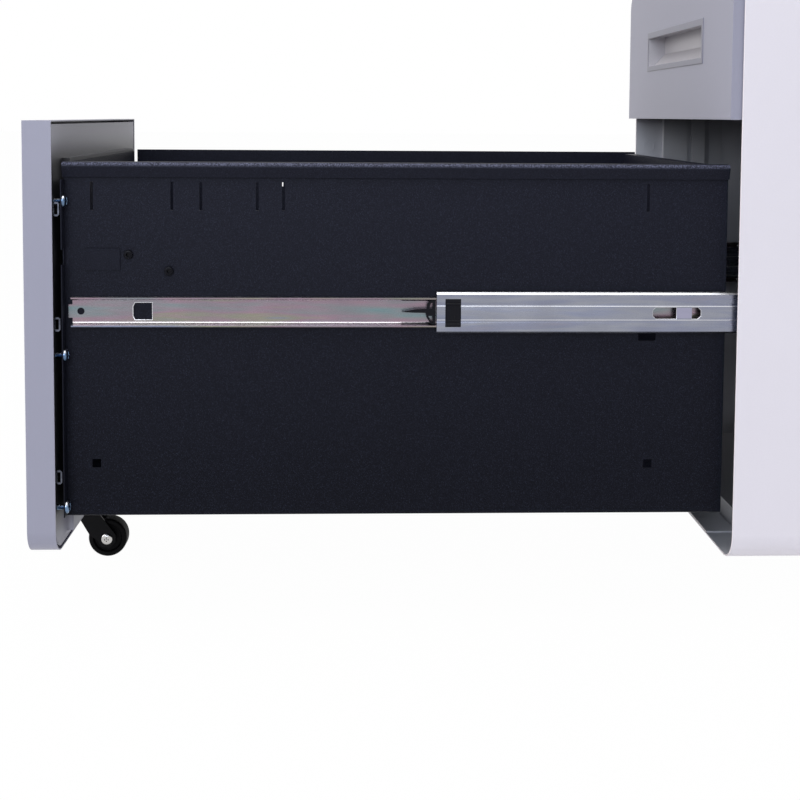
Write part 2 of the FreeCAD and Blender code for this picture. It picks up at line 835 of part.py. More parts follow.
# Black studs on the outside of the file box's side walls
studs = []
stud_places = ((file_box_front + 54, file_slide_z + 48), (file_box_front + 88, file_slide_z + 34))
for number, centre in enumerate(stud_places):
    studs.append(prism(f"stud_{number}_right", "x", box_half, box_half + s.stud_height, centre, 4, 12))
    studs.append(prism(f"stud_{number}_left", "x", -box_half - s.stud_height, -box_half, centre, 4, 12))
node("file_box_studs", group("file_box_studs", *studs))


# Drawer fronts: an outer pan with rounded outer corners, closed by an inner pan whose
# raised field meets the box, with a cut-out for the handle
def drawer_front(kind, low, high, front, low_corner, high_corner, handle):
    back = front + s.front_thickness
    fs = s.front_sheet
    name = kind + "_front"

    def pan(inset):
        half = front_half - inset
        bottom_radius = [low_corner - inset] if low_corner else []
        top_radius = [high_corner - inset] if high_corner else []
        bottom = [(x, low + inset, *bottom_radius) for x in (-half, half)]
        top = [(x, high - inset, *top_radius) for x in (half, -half)]
        return bottom + top

    outer = extruded(name, "XZ", front, back, pan(0))
    add_pocket(outer, name + "_hollow", "XZ", front + fs, back + 1, pan(fs))
    cut_half = s.handle_width / 2 - 2
    cut_high = s.handle_height / 2 - 2
    add_pocket(
        outer, name + "_handle_hole", "XZ", front - 1, front + fs + 1,
        rectangle(-cut_half, cut_half, handle - cut_high, handle + cut_high),
    )
    return outer, pan


def inner_pan(kind, pan, low, back, field_top):
    """The closing pan: a lip all round, and a raised field that the box is bolted to."""
    fs = s.front_sheet
    name = kind + "_front_inner"
    inset = fs + s.seat_gap
    face = back - 0.5
    body = extruded(name, "XZ", face - s.inner_pan_lip, face, pan(inset))
    add_pocket(body, name + "_hollow", "XZ", face - s.inner_pan_lip - 1, face - fs, pan(inset + fs))
    field = s.field_half_width
    field_low = low + inset + 6
    add_pad(
        body, name + "_field", "XZ", face - 0.2, back + s.field_depth - s.seat_gap,
        rectangle(-field, field, field_low, field_top),
    )
    add_pocket(
        body, name + "_field_hollow", "XZ", face - fs - 1, back + s.field_depth - s.seat_gap - fs,
        rectangle(-field + fs, field - fs, field_low + fs, field_top - fs),
    )
    return body


file_front_face = -s.front_proud - travel
file_outer, file_pan = drawer_front(
    "file", file_front_low, file_front_high, file_front_face, front_corner, None, handle_z["file"]
)
file_front_back = file_front_face + s.front_thickness
file_inner = inner_pan("file", file_pan, file_front_low, file_front_back, file_front_high - s.field_top_gap)
upper_face = -s.front_proud
upper_outer, upper_pan = drawer_front(
    "upper", upper_front_low, upper_front_high, upper_face, None, front_corner, handle_z["upper"]
)
upper_inner = inner_pan("upper", upper_pan, upper_front_low, front_back_shut, upper_box_high + 1)

# Screws from the inner pans through square holes in the flanges, three or one on each side
low_screw = file_box_low + s.low_screw_lift
high_screw = file_box_high - s.high_screw_drop
file_screw_z = (high_screw, (low_screw + high_screw) / 2, low_screw)
upper_screw_z = (upper_box_high - s.high_screw_drop,)
screw_hole = s.screw_shank / 2 + s.hole_clearance
for box, box_front, heights in (
    (file_box, file_box_front, file_screw_z), (upper_box, box_front_shut, upper_screw_z),
):
    windows = [
        rectangle(side * screw_x - screw_hole, side * screw_x + screw_hole, z - screw_hole, z + screw_hole)
        for side in (1, -1) for z in heights
    ]
    add_pocket(box, box.Name + "_screw_holes", "XZ", box_front - 1, box_front + 2, *windows)

# Clearance for the lock's barrel through the upper drawer's two pans
barrel_hole = s.lock_barrel / 2 + s.hole_clearance / 2
add_pocket(
    upper_outer, "upper_front_lock_hole", "XZ", upper_face - 1, upper_face + 3,
    (lock_x, lock_z, barrel_hole),
)
add_pocket(
    upper_inner, "upper_inner_lock_hole", "XZ", front_back_shut - 3, front_back_shut + 2,
    (lock_x, lock_z, barrel_hole),
)
node("file_front", file_outer)
node("file_front_inner", file_inner)
node("upper_front", upper_outer)
node("upper_front_inner", upper_inner)

# A screw's shank starts on the inner pan's back, half a millimetre inside the outer pan's rim
pan_recess = 0.5
screw_length = s.box_sheet + s.field_depth + pan_recess
screw = join(
    "flange_screw",
    prism("screw_shank", "y", -screw_length, 0, (0, 0), s.screw_shank / 2, 12),
    prism("screw_head", "y", 0, s.screw_head_height, (0, 0), s.screw_head / 2, 12),
)


def flange_screws(name, heights, box_front):
    seat = box_front + s.box_sheet
    places = [(screw_x * side, seat, z) for z in heights for side in (1, -1)]
    screws = [copy_at(f"{name}_{number}", screw, *point) for number, point in enumerate(places)]
    return node(name, group(name, *screws))


flange_screws("file_front_screws", file_screw_z, file_box_front)
flange_screws("upper_front_screws", upper_screw_z, box_front_shut)

# Bright spring clips between the file drawer's front and the flanges, each a bent loop
clips = []
middle_screw = (high_screw + low_screw) / 2
clip_heights = (high_screw - s.clip_drop, middle_screw + s.clip_lift, low_screw + s.clip_lift)
for number, z in enumerate(clip_heights):
    y = file_front_back - pan_recess
    loop = extruded(
        f"clip_{number}", "YZ", flange_edge - 3, flange_edge - 0.5,
        [
            (y, z - 4.5), (y + 1.5, z - 6), (y + 3.9, z - 6), (y + 5.4, z - 4.5),
            (y + 5.4, z + 4.5), (y + 3.9, z + 6), (y + 1.5, z + 6), (y, z + 4.5),
        ],
        rectangle(y + 1.3, y + 4.1, z - 4.4, z + 4.4),
    )
    clips += [loop, mirrored(f"clip_{number}_left", loop)]
node("file_front_clips", group("file_front_clips", *clips))


# Handles: a bevelled plastic frame with a scooped pocket behind it
def handle(name, front, z):
    half = s.handle_width / 2
    high = s.handle_height / 2
    frame_proud = 0.8
    neck_half = half - 2 - s.seat_gap
    neck_high = high - 2 - s.seat_gap
    body = extruded(
        name, "XZ", front - frame_proud, front, rectangle(-half, half, z - high, z + high)
    )
    add_pad(
        body, name + "_housing", "XZ", front - 0.4, front + s.handle_depth + s.handle_wall,
        rectangle(-neck_half, neck_half, z - neck_high, z + neck_high),
    )
    hollow_half = half - s.handle_border
    scoop = [
        (front - 2, z - 15.4), (front + 6, z - 14.2), (front + 13.5, z - 6), (front + s.handle_depth, z - 2),
        (front + s.handle_depth, z + 16), (front + 4, z + 16), (front + 1.5, z + 14), (front - 2, z + 14),
    ]
    add_pocket(body, name + "_scoop", "YZ", -hollow_half, hollow_half, scoop)
    return node(name, body)


handle("file_handle", file_front_face, handle_z["file"])
handle("upper_handle", upper_face, handle_z["upper"])

# Lock: a barrel through the upper front, a plug that turns in it, and an eccentric pin
# on the plug that lifts the bar
plug_radius = s.lock_plug / 2
barrel_back = front_back_shut + 0.4
lock_centre = (lock_x, lock_z)
lock_face = upper_face - 2.2
node("lock_barrel", cut(
    "lock_barrel",
    join(
        "barrel_body",
        prism("barrel_flange", "y", lock_face, upper_face, lock_centre, s.lock_barrel / 2 + 2, 24),
        prism("barrel_neck", "y", upper_face, barrel_back, lock_centre, s.lock_barrel / 2, 24),
    ),
    rod("barrel_bore", "y", lock_face - 1, barrel_back + 1, lock_centre, plug_radius + 0.05),
))
bar_front = front_back_shut + 1.5
bar_back = bar_front + s.lock_bar_sheet
plug_body = rod("plug_body", "y", lock_face, barrel_back + 0.2, lock_centre, plug_radius)
pin_x = lock_x + lock_pin_swing / math.sqrt(2)
pin_z = lock_z - s.lock_throw / 2
pin = prism("plug_pin", "y", barrel_back, bar_back + 0.6, (pin_x, pin_z), 2, 12)
key_slot = block(
    "key_slot", (lock_x - 4, lock_x + 4), (upper_face - 3, upper_face + 8),
    (lock_z - 0.7, lock_z + 0.7),
)
node("lock_plug", cut("lock_plug", join("plug_and_pin", plug_body, pin), key_slot))

# Lock bar: a flat strip along the right wall with an arm to the pin and a tab for each drawer
bar_in = flange_edge + s.bar_gap
bar_out = wall_in - 1.5
arm_half = 6
slot_half = 2.3
arm_left = lock_x - 12
bar_low = file_lock_z - 12
tab_in = flange_edge - 6
lock_bar = extruded(
    "lock_bar", "XZ", bar_front, bar_back,
    [
        (bar_in, bar_low), (bar_out, bar_low), (bar_out, pin_z + arm_half), (arm_left, pin_z + arm_half),
        (arm_left, pin_z - arm_half), (bar_in, pin_z - arm_half), (bar_in, upper_lock_z + 4.5),
        (tab_in, upper_lock_z + 4.5), (tab_in, upper_lock_z - 4.5), (bar_in, upper_lock_z - 4.5),
        (bar_in, file_lock_z + 4.5), (tab_in, file_lock_z + 4.5), (tab_in, file_lock_z - 4.5),
        (bar_in, file_lock_z - 4.5),
    ],
    rectangle(lock_x + 1, lock_x + 8, pin_z - slot_half, pin_z + slot_half),
)
node("lock_bar", lock_bar)

# Two guides on the wall keep the lock bar upright
guides = []
for number, z in enumerate((file_lock_z + 30, upper_lock_z - 20)):
    shell_side = block(
        f"guide_{number}_block", (bar_in - 0.8, wall_in), (bar_front - 0.8, s.post_front), (z - 4, z + 4)
    )
    groove = block(
        f"guide_{number}_groove", (bar_in - 0.25, bar_out + 0.25),
        (bar_front - 0.25, bar_back + 0.25), (z - 5, z + 5),
    )
    guides.append(cut(f"guide_{number}", shell_side, groove))
node("lock_bar_guides", group("lock_bar_guides", *guides))


# Casters: a plate under the base, a fork that swivels below it, and a wheel that trails behind
def wheel(name, radius, x, y):
    """A moulded wheel with a round bore, standing on the floor between its fork's legs."""
    low, high = x - s.caster_tread / 2, x + s.caster_tread / 2
    tread = prism(name + "_tread", "x", low, high, (y, radius), radius, 36)
    bore = rod(name + "_bore", "x", low - 1, high + 1, (y, radius), s.caster_axle / 2 + s.axle_clearance)
    return node(name, cut(name, tread, bore))


def fork_legs(name, x, legs):
    """Two stamped legs, each a plate that narrows down to the axle."""
    inside = s.caster_tread / 2 + s.fork_side_gap
    plates = []
    for side, low in (("right", x + inside), ("left", x - inside - s.fork_sheet)):
        plates.append(extruded(f"{name}_{side}_leg", "YZ", low, low + s.fork_sheet, legs))
    return plates


def base_fork(name, x, y):
    """Fork with its race cup, crown, legs and the bolt that carries the wheel."""
    radius = s.caster_wheel / 2
    axle_y = y + s.caster_trail
    front, back = y - s.crown_half, y + s.crown_half
    legs = [
        (front, crown_top), (front, crown_low - 3), (axle_y - 9, radius - 3), (axle_y - 6, radius - 8),
        (axle_y + 6, radius - 8), (axle_y + 9, radius - 2), (axle_y + 9, crown_low + 1),
        (axle_y + 5, crown_top),
    ]
    inside = s.caster_tread / 2 + s.fork_side_gap
    outside = inside + s.fork_sheet
    top = block(name + "_crown", (x - outside, x + outside), (front, back), (crown_low, crown_top))
    cup = prism(name + "_cup", "z", crown_top, plate_low - s.seat_gap, (x, y), 16, 24)
    bore = rod(name + "_bore", "z", crown_low - 1, plate_low, (x, y), s.kingpin / 2 + s.axle_clearance)
    axle = prism(name + "_axle", "x", x - inside, x + inside, (axle_y, radius), s.caster_axle / 2, 12)
    nuts = [
        prism(name + "_bolt_head", "x", x + outside, x + outside + 2, (axle_y, radius), 5, 6),
        prism(name + "_nut", "x", x - outside - 2, x - outside, (axle_y, radius), 5, 6),
    ]
    whole = join(name + "_whole", *fork_legs(name, x, legs), top, cup, axle, *nuts)
    return node(name, cut(name, whole, bore))


def base_plate(name, x, y):
    """Mounting plate under the shell with the pin that its fork turns on."""
    half = s.caster_plate / 2
    plate = block(name + "_plate", (x - half, x + half), (y - half, y + half), (plate_low, s.shell_bottom))
    kingpin = prism(name + "_kingpin", "z", crown_low, plate_low, (x, y), s.kingpin / 2, 12)
    return join(name, plate, kingpin)


plate_low = s.shell_bottom - s.plate_sheet
crown_low = s.caster_wheel + s.crown_gap
crown_top = crown_low + s.fork_sheet
caster_x = s.shell_width / 2 - s.caster_in
corners = {
    "front_left": (-caster_x, s.caster_back),
    "front_right": (caster_x, s.caster_back),
    "rear_left": (-caster_x, s.shell_depth - s.caster_back),
    "rear_right": (caster_x, s.shell_depth - s.caster_back),
}
plates = []
for corner, (x, y) in corners.items():
    plates.append(base_plate(f"{corner}_plate", x, y))
    base_fork(f"{corner}_fork", x, y)
    wheel(f"{corner}_wheel", s.caster_wheel / 2, x, y + s.caster_trail)
node("caster_plates", group("caster_plates", *plates))


def brake(name, x, y):
    """Brake pedal over the wheel's back, on its own pin between the legs."""
    pin_y = y + s.caster_trail + 5
    pin_level = s.caster_wheel + 1.9
    wide = s.caster_tread / 2 - 0.5
    reach = s.caster_tread / 2 + s.fork_side_gap - 0.1
    pin = rod(name + "_pin", "x", x - reach, x + reach, (pin_y, pin_level), 1.3)
    pedal = extruded(
        name + "_pedal", "YZ", x - wide, x + wide,
        [
            (pin_y - 2, pin_level - 1.2), (pin_y + 18, pin_level - 0.6), (pin_y + 26, pin_level - 3),
            (pin_y + 27, pin_level - 1), (pin_y + 18, pin_level + 2), (pin_y - 2, pin_level + 1.6),
        ],
    )
    return node(name, join(name, pin, pedal))


for corner in ("front_left", "front_right"):
    brake(f"{corner}_brake", *corners[corner])

# Tipping caster: hangs from the bottom of the file drawer's front, its wheel trailing behind
tip_y = file_front_face + s.front_thickness / 2
tip_radius = s.tip_wheel / 2
tip_axle_y = tip_y + s.tip_trail
tip_crown = s.tip_wheel + s.crown_gap
tip_crown_top = tip_crown + s.fork_sheet
tip_plate_low = file_front_low - s.plate_sheet
tip_stem = join(
    "tip_caster_stem",
    block("tip_plate", (-22, 22), (tip_y - 10, tip_y + 10), (tip_plate_low, file_front_low)),
    prism("tip_stem", "z", tip_crown, tip_plate_low, (0, tip_y), s.kingpin / 2, 12),
)
node("tip_caster_stem", tip_stem)
tip_front, tip_back = tip_y - 8, tip_y + 12
tip_legs = [
    (tip_front, tip_crown_top), (tip_front, tip_crown - 2), (tip_y + 1, tip_radius + 4),
    (tip_axle_y - 9, tip_radius - 2), (tip_axle_y - 5, tip_radius - 8), (tip_axle_y + 3, tip_radius - 9),
    (tip_axle_y + 8.5, tip_radius - 3), (tip_axle_y + 8.5, tip_radius + 4), (tip_back, tip_crown_top),
]
tip_inside = s.caster_tread / 2 + s.fork_side_gap
tip_outside = tip_inside + s.fork_sheet
tip_whole = join(
    "tip_fork_whole",
    *fork_legs("tip_fork", 0, tip_legs),
    block("tip_fork_crown", (-tip_outside, tip_outside), (tip_front, tip_back), (tip_crown, tip_crown_top)),
    prism("tip_fork_cup", "z", tip_crown_top, tip_plate_low - s.seat_gap, (0, tip_y), 8, 24),
)
node("tip_caster_fork", cut(
    "tip_caster_fork",
    tip_whole,
    rod("tip_fork_bore", "z", tip_crown - 1, file_front_low, (0, tip_y), s.kingpin / 2 + s.axle_clearance),
    prism(
        "tip_axle_hole", "x", -tip_outside - 1, tip_outside + 1, (tip_axle_y, tip_radius),
        s.caster_axle / 2 + 0.02, 12,
    ),
))
wheel("tip_caster_wheel", tip_radius, 0, tip_axle_y)
axle_centre = (tip_axle_y, tip_radius)
head = s.tip_axle_head / 2
head_start = tip_outside + 0.1
head_end = head_start + s.tip_head_height
node("tip_caster_axle", join(
    "tip_caster_axle",
    prism("tip_axle_shank", "x", -head_start, head_start, axle_centre, s.caster_axle / 2, 12),
    prism("tip_axle_right_head", "x", head_start, head_end, axle_centre, head, 24),
    prism("tip_axle_left_head", "x", -head_end, -head_start, axle_centre, head, 24),
))

doc.recompute()

# Every object must be sound before anything is written
for thing in doc.Objects:
    if "Invalid" in thing.State or "Error" in thing.State:
        raise RuntimeError(f"{thing.Label} failed: {thing.State}")
for name, thing in nodes.items():
    shape = thing.Shape
    if shape.isNull() or not shape.isValid() or not shape.Solids:
        raise RuntimeError(f"{name} has no sound solid")

os.makedirs("parts", exist_ok=True)
for name, thing in nodes.items():
    thing.Shape.exportStep(f"parts/{name}.step")
print(len(nodes), "nodes,", sum(len(thing.Shape.Solids) for thing in nodes.values()), "solids")
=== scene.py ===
import math

import bmesh
import bpy
from mathutils import Matrix, Vector


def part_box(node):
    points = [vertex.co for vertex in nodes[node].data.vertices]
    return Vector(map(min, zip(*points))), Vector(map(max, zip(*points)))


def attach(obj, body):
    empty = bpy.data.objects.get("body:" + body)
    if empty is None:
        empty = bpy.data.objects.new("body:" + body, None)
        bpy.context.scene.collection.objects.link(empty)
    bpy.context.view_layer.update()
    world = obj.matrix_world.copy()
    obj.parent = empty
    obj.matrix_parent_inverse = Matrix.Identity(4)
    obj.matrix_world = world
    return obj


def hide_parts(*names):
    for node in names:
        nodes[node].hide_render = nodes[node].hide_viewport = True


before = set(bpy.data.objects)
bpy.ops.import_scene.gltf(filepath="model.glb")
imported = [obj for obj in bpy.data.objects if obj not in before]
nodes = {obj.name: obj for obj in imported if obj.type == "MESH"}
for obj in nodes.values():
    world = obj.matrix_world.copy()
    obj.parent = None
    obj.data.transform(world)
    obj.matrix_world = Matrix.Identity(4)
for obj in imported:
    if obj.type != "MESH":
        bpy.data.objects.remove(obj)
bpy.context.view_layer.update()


# The room: a plain white studio, so that the cabinet stands free. The camera stands at the
# cabinet's right side. The floor takes a soft shadow, and floor and room show white behind it.
scene = bpy.context.scene
scene.view_settings.view_transform = "Standard"

picture_width, sensor_width, focal_length = 800, 36, 1254.3
eye = Vector((1.2416, -0.3240, 0.4406))
yaw, pitch, roll = math.radians(2.057), math.radians(3.859), math.radians(0.362)
ahead = Vector((
    -math.cos(yaw) * math.cos(pitch), math.sin(yaw) * math.cos(pitch), -math.sin(pitch),
))
aim = ahead.to_track_quat("-Z", "Y").to_matrix().to_4x4()
camera_data = bpy.data.cameras.new("camera")
camera_data.sensor_width = sensor_width
camera_data.lens = sensor_width * focal_length / picture_width
camera_data.shift_y = -0.25
camera = bpy.data.objects.new("camera", camera_data)
camera.matrix_world = Matrix.Translation(eye) @ aim @ Matrix.Rotation(roll, 4, "Z")
scene.collection.objects.link(camera)
scene.camera = camera


def soft_lamp(name, at, towards, size, power, colour=(1, 1, 1)):
    """A large soft box."""
    data = bpy.data.lights.new(name, "AREA")
    data.shape = "DISK"
    data.size = size
    data.energy = power
    data.color = colour
    lamp = bpy.data.objects.new(name, data)
    lamp.location = at
    lamp.rotation_euler = (Vector(towards) - Vector(at)).to_track_quat("-Z", "Y").to_euler()
    scene.collection.objects.link(lamp)


cool, warm = (0.81, 0.90, 1.03), (1.0, 0.97, 0.95)
soft_lamp("overhead_box", (0.5, -0.45, 2.3), (0, -0.1, 0.3), size=2.2, power=28)
soft_lamp(
    "camera_side_box", (2.4, -0.95, 1.2), (0, -0.1, 0.35), size=1.6, power=22.5, colour=cool,
)
soft_lamp("front_box", (0.3, -2.8, 1.3), (0, -0.2, 0.35), size=1.6, power=20, colour=warm)


def wire(tree, kind, inputs=None, **settings):
    """Add a node: its settings, then its inputs, each a plain value or another's output."""
    made = tree.nodes.new(kind)
    for name, value in settings.items():
        setattr(made, name, value)
    for socket, value in (inputs or {}).items():
        if isinstance(value, bpy.types.NodeSocket):
            tree.links.new(value, made.inputs[socket])
        else:
            made.inputs[socket].default_value = value
    return made


def reckon(tree, operation, first, second=0.0):
    """The result of a sum on two numbers."""
    return wire(tree, "ShaderNodeMath", {0: first, 1: second}, operation=operation).outputs[0]


def shows_as_white(tree, shader, white_kind, share):
    """Mix in plain white wherever the camera, a gloss or a clear piece looks at a surface."""
    path = wire(tree, "ShaderNodeLightPath").outputs
    white = wire(tree, white_kind, {"Color": (1, 1, 1, 1), "Strength": 1.0})
    seen = reckon(tree, "MAXIMUM", path["Is Camera Ray"], path["Is Glossy Ray"])
    either = reckon(tree, "MAXIMUM", seen, path["Is Transmission Ray"])
    part = reckon(tree, "MULTIPLY", either, share)
    return wire(tree, "ShaderNodeMixShader", {0: part, 1: shader.outputs[0], 2: white.outputs[0]})


room_level, floor_white = 0.32, 0.985
world = bpy.data.worlds.new("white_room")
scene.world = world
world.use_nodes = True
room = world.node_tree
glow = room.nodes["Background"]
glow.inputs["Color"].default_value = (1, 1, 1, 1)
glow.inputs["Strength"].default_value = room_level
room_mix = shows_as_white(room, glow, "ShaderNodeBackground", 1.0)
room.links.new(room_mix.outputs[0], room.nodes["World Output"].inputs["Surface"])

floor_paint = bpy.data.materials.new("studio_floor")
floor_paint.use_nodes = True
floor_tree = floor_paint.node_tree
floor_shader = floor_tree.nodes["Principled BSDF"]
floor_shader.inputs["Base Color"].default_value = (0.9, 0.9, 0.9, 1)
floor_shader.inputs["Roughness"].default_value = 0.8
floor_mix = shows_as_white(floor_tree, floor_shader, "ShaderNodeEmission", floor_white)
floor_tree.links.new(floor_mix.outputs[0], floor_tree.nodes["Material Output"].inputs["Surface"])
floor_reach = 30
floor_corners = [
    (-floor_reach, -floor_reach, 0), (floor_reach, -floor_reach, 0),
    (floor_reach, floor_reach, 0), (-floor_reach, floor_reach, 0),
]
floor_mesh = bpy.data.meshes.new("studio_floor")
floor_mesh.from_pydata(floor_corners, [], [(0, 1, 2, 3)])
floor_mesh.materials.append(floor_paint)
studio_floor = bpy.data.objects.new("studio_floor", floor_mesh)
scene.collection.objects.link(studio_floor)


# Outer shell: one cold-rolled steel sheet, bent round into a tube with four soft corners.
# It is powder coated white outside; the inside is a darker grey as painted shade, and the
# cut front edge is paler as a painted highlight.
def noise(tree, where, scale, detail, roughness=0.5):
    """An even cloud of tones."""
    return wire(tree, "ShaderNodeTexNoise", {
        "Vector": where, "Scale": scale, "Detail": detail, "Roughness": roughness,
    }).outputs["Fac"]


def span(tree, value, start, end, low=0.0, high=1.0, **settings):
    """Turn the stretch from start to end into the one from low to high."""
    return wire(tree, "ShaderNodeMapRange", {
        "Value": value, "From Min": start, "From Max": end, "To Min": low, "To Max": high,
    }, **settings).outputs["Result"]


def blend(tree, factor, first, second, **settings):
    """Mix two colours, each plain or another node's output."""
    mixed = wire(tree, "ShaderNodeMix", {"Factor": factor}, data_type="RGBA", **settings)
    for socket, colour in (("A", first), ("B", second)):
        if isinstance(colour, bpy.types.NodeSocket):
            tree.links.new(colour, mixed.inputs[socket])
        else:
            mixed.inputs[socket].default_value = (*colour, 1)
    return mixed.outputs["Result"]


def new_finish(name):
    """A material with its tree, its shader and its place on the piece."""
    finish = bpy.data.materials.new(name)
    finish.use_nodes = True
    tree = finish.node_tree
    where = wire(tree, "ShaderNodeTexCoord").outputs["Object"]
    return finish, tree, tree.nodes["Principled BSDF"], where


def surface(tree, shader, colour, gloss, relief, strength, depth):
    """Lead a finish's colour, gloss and relief to its shader."""
    bump = wire(tree, "ShaderNodeBump", {
        "Height": relief, "Strength": strength, "Distance": depth,
    })
    tree.links.new(colour, shader.inputs["Base Color"])
    tree.links.new(gloss, shader.inputs["Roughness"])
    tree.links.new(bump.outputs["Normal"], shader.inputs["Normal"])


def powder_coat(name, colour, roughness, grain, relief, mottle=0.04, speck=None, shine=0.4):
    """A baked powder coat: a fine peel in the surface and a faint change of tone and gloss.
    A textured coat also has specks, given as their colour and how much of it they show."""
    paint, tree, shader, where = new_finish(name)
    peel = noise(tree, where, grain, 3.0)
    cloud = noise(tree, where, 9.0, 4.0)
    shift = reckon(tree, "MULTIPLY", reckon(tree, "ADD", cloud, peel), 0.5)
    darker = [part * (1 - mottle) for part in colour]
    lighter = [min(1, part * (1 + mottle)) for part in colour]
    shown = blend(tree, shift, darker, lighter)
    if speck:
        speck_colour, most = speck
        dots = noise(tree, where, grain * 1.3, 1.0)
        shown = blend(tree, span(tree, dots, 0.56, 0.72, 0.0, most), shown, speck_colour)
    gloss = span(tree, peel, 0.0, 1.0, roughness - 0.06, roughness + 0.06)
    surface(tree, shader, shown, gloss, peel, relief, 0.0002)
    shader.inputs["Specular IOR Level"].default_value = shine
    return paint


def finished(name, mesh, body, finishes, smooth, *replaced):
    """Put a mesh in the scene as a piece of a body, with its finishes and smooth curves."""
    if not mesh.materials:
        for finish in finishes:
            mesh.materials.append(finish)
    mesh.shade_smooth()
    mesh.set_sharp_from_angle(angle=math.radians(smooth))
    piece = bpy.data.objects.new(name, mesh)
    scene.collection.objects.link(piece)
    even = piece.modifiers.new("even_flats", "WEIGHTED_NORMAL")
    even.keep_sharp = True
    evaluated = piece.evaluated_get(bpy.context.evaluated_depsgraph_get())
    result = bpy.data.meshes.new_from_object(evaluated)
    piece.modifiers.clear()
    piece.data = result
    result.name = name
    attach(piece, body)
    if replaced:
        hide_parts(*replaced)
    return piece


touching = 1e-6
same_plane, real_fold = math.radians(1), math.radians(35)
soft_bend = 31


def pressed(
    name, node, body, finishes, rolled=None, turn=0.0004, pick=None, drawn=None, held=True,
):
    """A CAD node's own form with the edges between the points that `rolled` picks eased by
    `turn`, as a press leaves them. `pick` chooses a face's finish from its place and facing,
    and `drawn` moves a point where the real sheet is drawn a little further. `held` keeps the
    ease within the faces beside it."""
    form = bmesh.new()
    form.from_mesh(nodes[node].data)
    bmesh.ops.remove_doubles(form, verts=form.verts, dist=touching)
    bmesh.ops.dissolve_limit(form, angle_limit=same_plane, verts=form.verts, edges=form.edges)
    if drawn:
        for corner in form.verts:
            corner.co = drawn(corner.co.copy())
    if rolled:
        edges = [
            edge for edge in form.edges
            if len(edge.link_faces) == 2 and edge.calc_face_angle(0) > real_fold
            and rolled(edge.verts[0].co) and rolled(edge.verts[1].co)
        ]
        bmesh.ops.bevel(
            form, geom=edges, offset=turn, offset_type="OFFSET", segments=3, profile=0.5,
            affect="EDGES", clamp_overlap=held,
        )
        form.normal_update()
    if pick:
        for face in form.faces:
            face.material_index = pick(face.calc_center_median(), face.normal)
    mesh = bpy.data.meshes.new(name)
    form.to_mesh(mesh)
    form.free()
    return finished(name, mesh, body, finishes, soft_bend, node)


def coated(material, *names):
    """Finish CAD nodes as they are."""
    for name in names:
        nodes[name].data.materials.clear()
        nodes[name].data.materials.append(material)


white_coat = powder_coat("white_coat", (0.82, 0.775, 0.83), 0.40, 700, 0.2)
# The inside's darker grey is painted shade.
inside_coat = powder_coat("inside_coat", (0.56, 0.56, 0.60), 0.5, 800, 0.3, 0.08)
# The paler front edge is a painted highlight.
pale_edge = powder_coat("pale_edge", (0.90, 0.82, 0.84), 0.45, 900, 0.2)
shell_low, shell_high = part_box("outer_shell")
shell_sheet, edge_depth, on_the_end = 0.0015, 0.0006, 1e-5
skin = shell_sheet * 0.9


def shell_side(centre, facing):
    """Outside white, inside a darker grey as painted shade, and the sheet's own thickness in
    front paler as a painted highlight.
    """
    if centre.y < shell_low.y + edge_depth and facing.y < -0.2:
        return 2
    middle = Vector((0, centre.y, (shell_low.z + shell_high.z) / 2))
    outwards = (centre - middle).dot(facing) > 0
    near_skin = (
        abs(centre.x) > shell_high.x - skin or centre.z < shell_low.z + skin
        or centre.z > shell_high.z - skin or abs(facing.x * facing.z) > 0.01
    )
    return 0 if outwards and near_skin else 1


def at_shell_end(at):
    """The sheet's cut ends, in front and at the back."""
    return min(at.y - shell_low.y, shell_high.y - at.y) < on_the_end


pressed(
    "shell_sheet", "outer_shell", "cabinet", (white_coat, inside_coat, pale_edge),
    rolled=at_shell_end, pick=shell_side,
)
coated(white_coat, "back_panel")


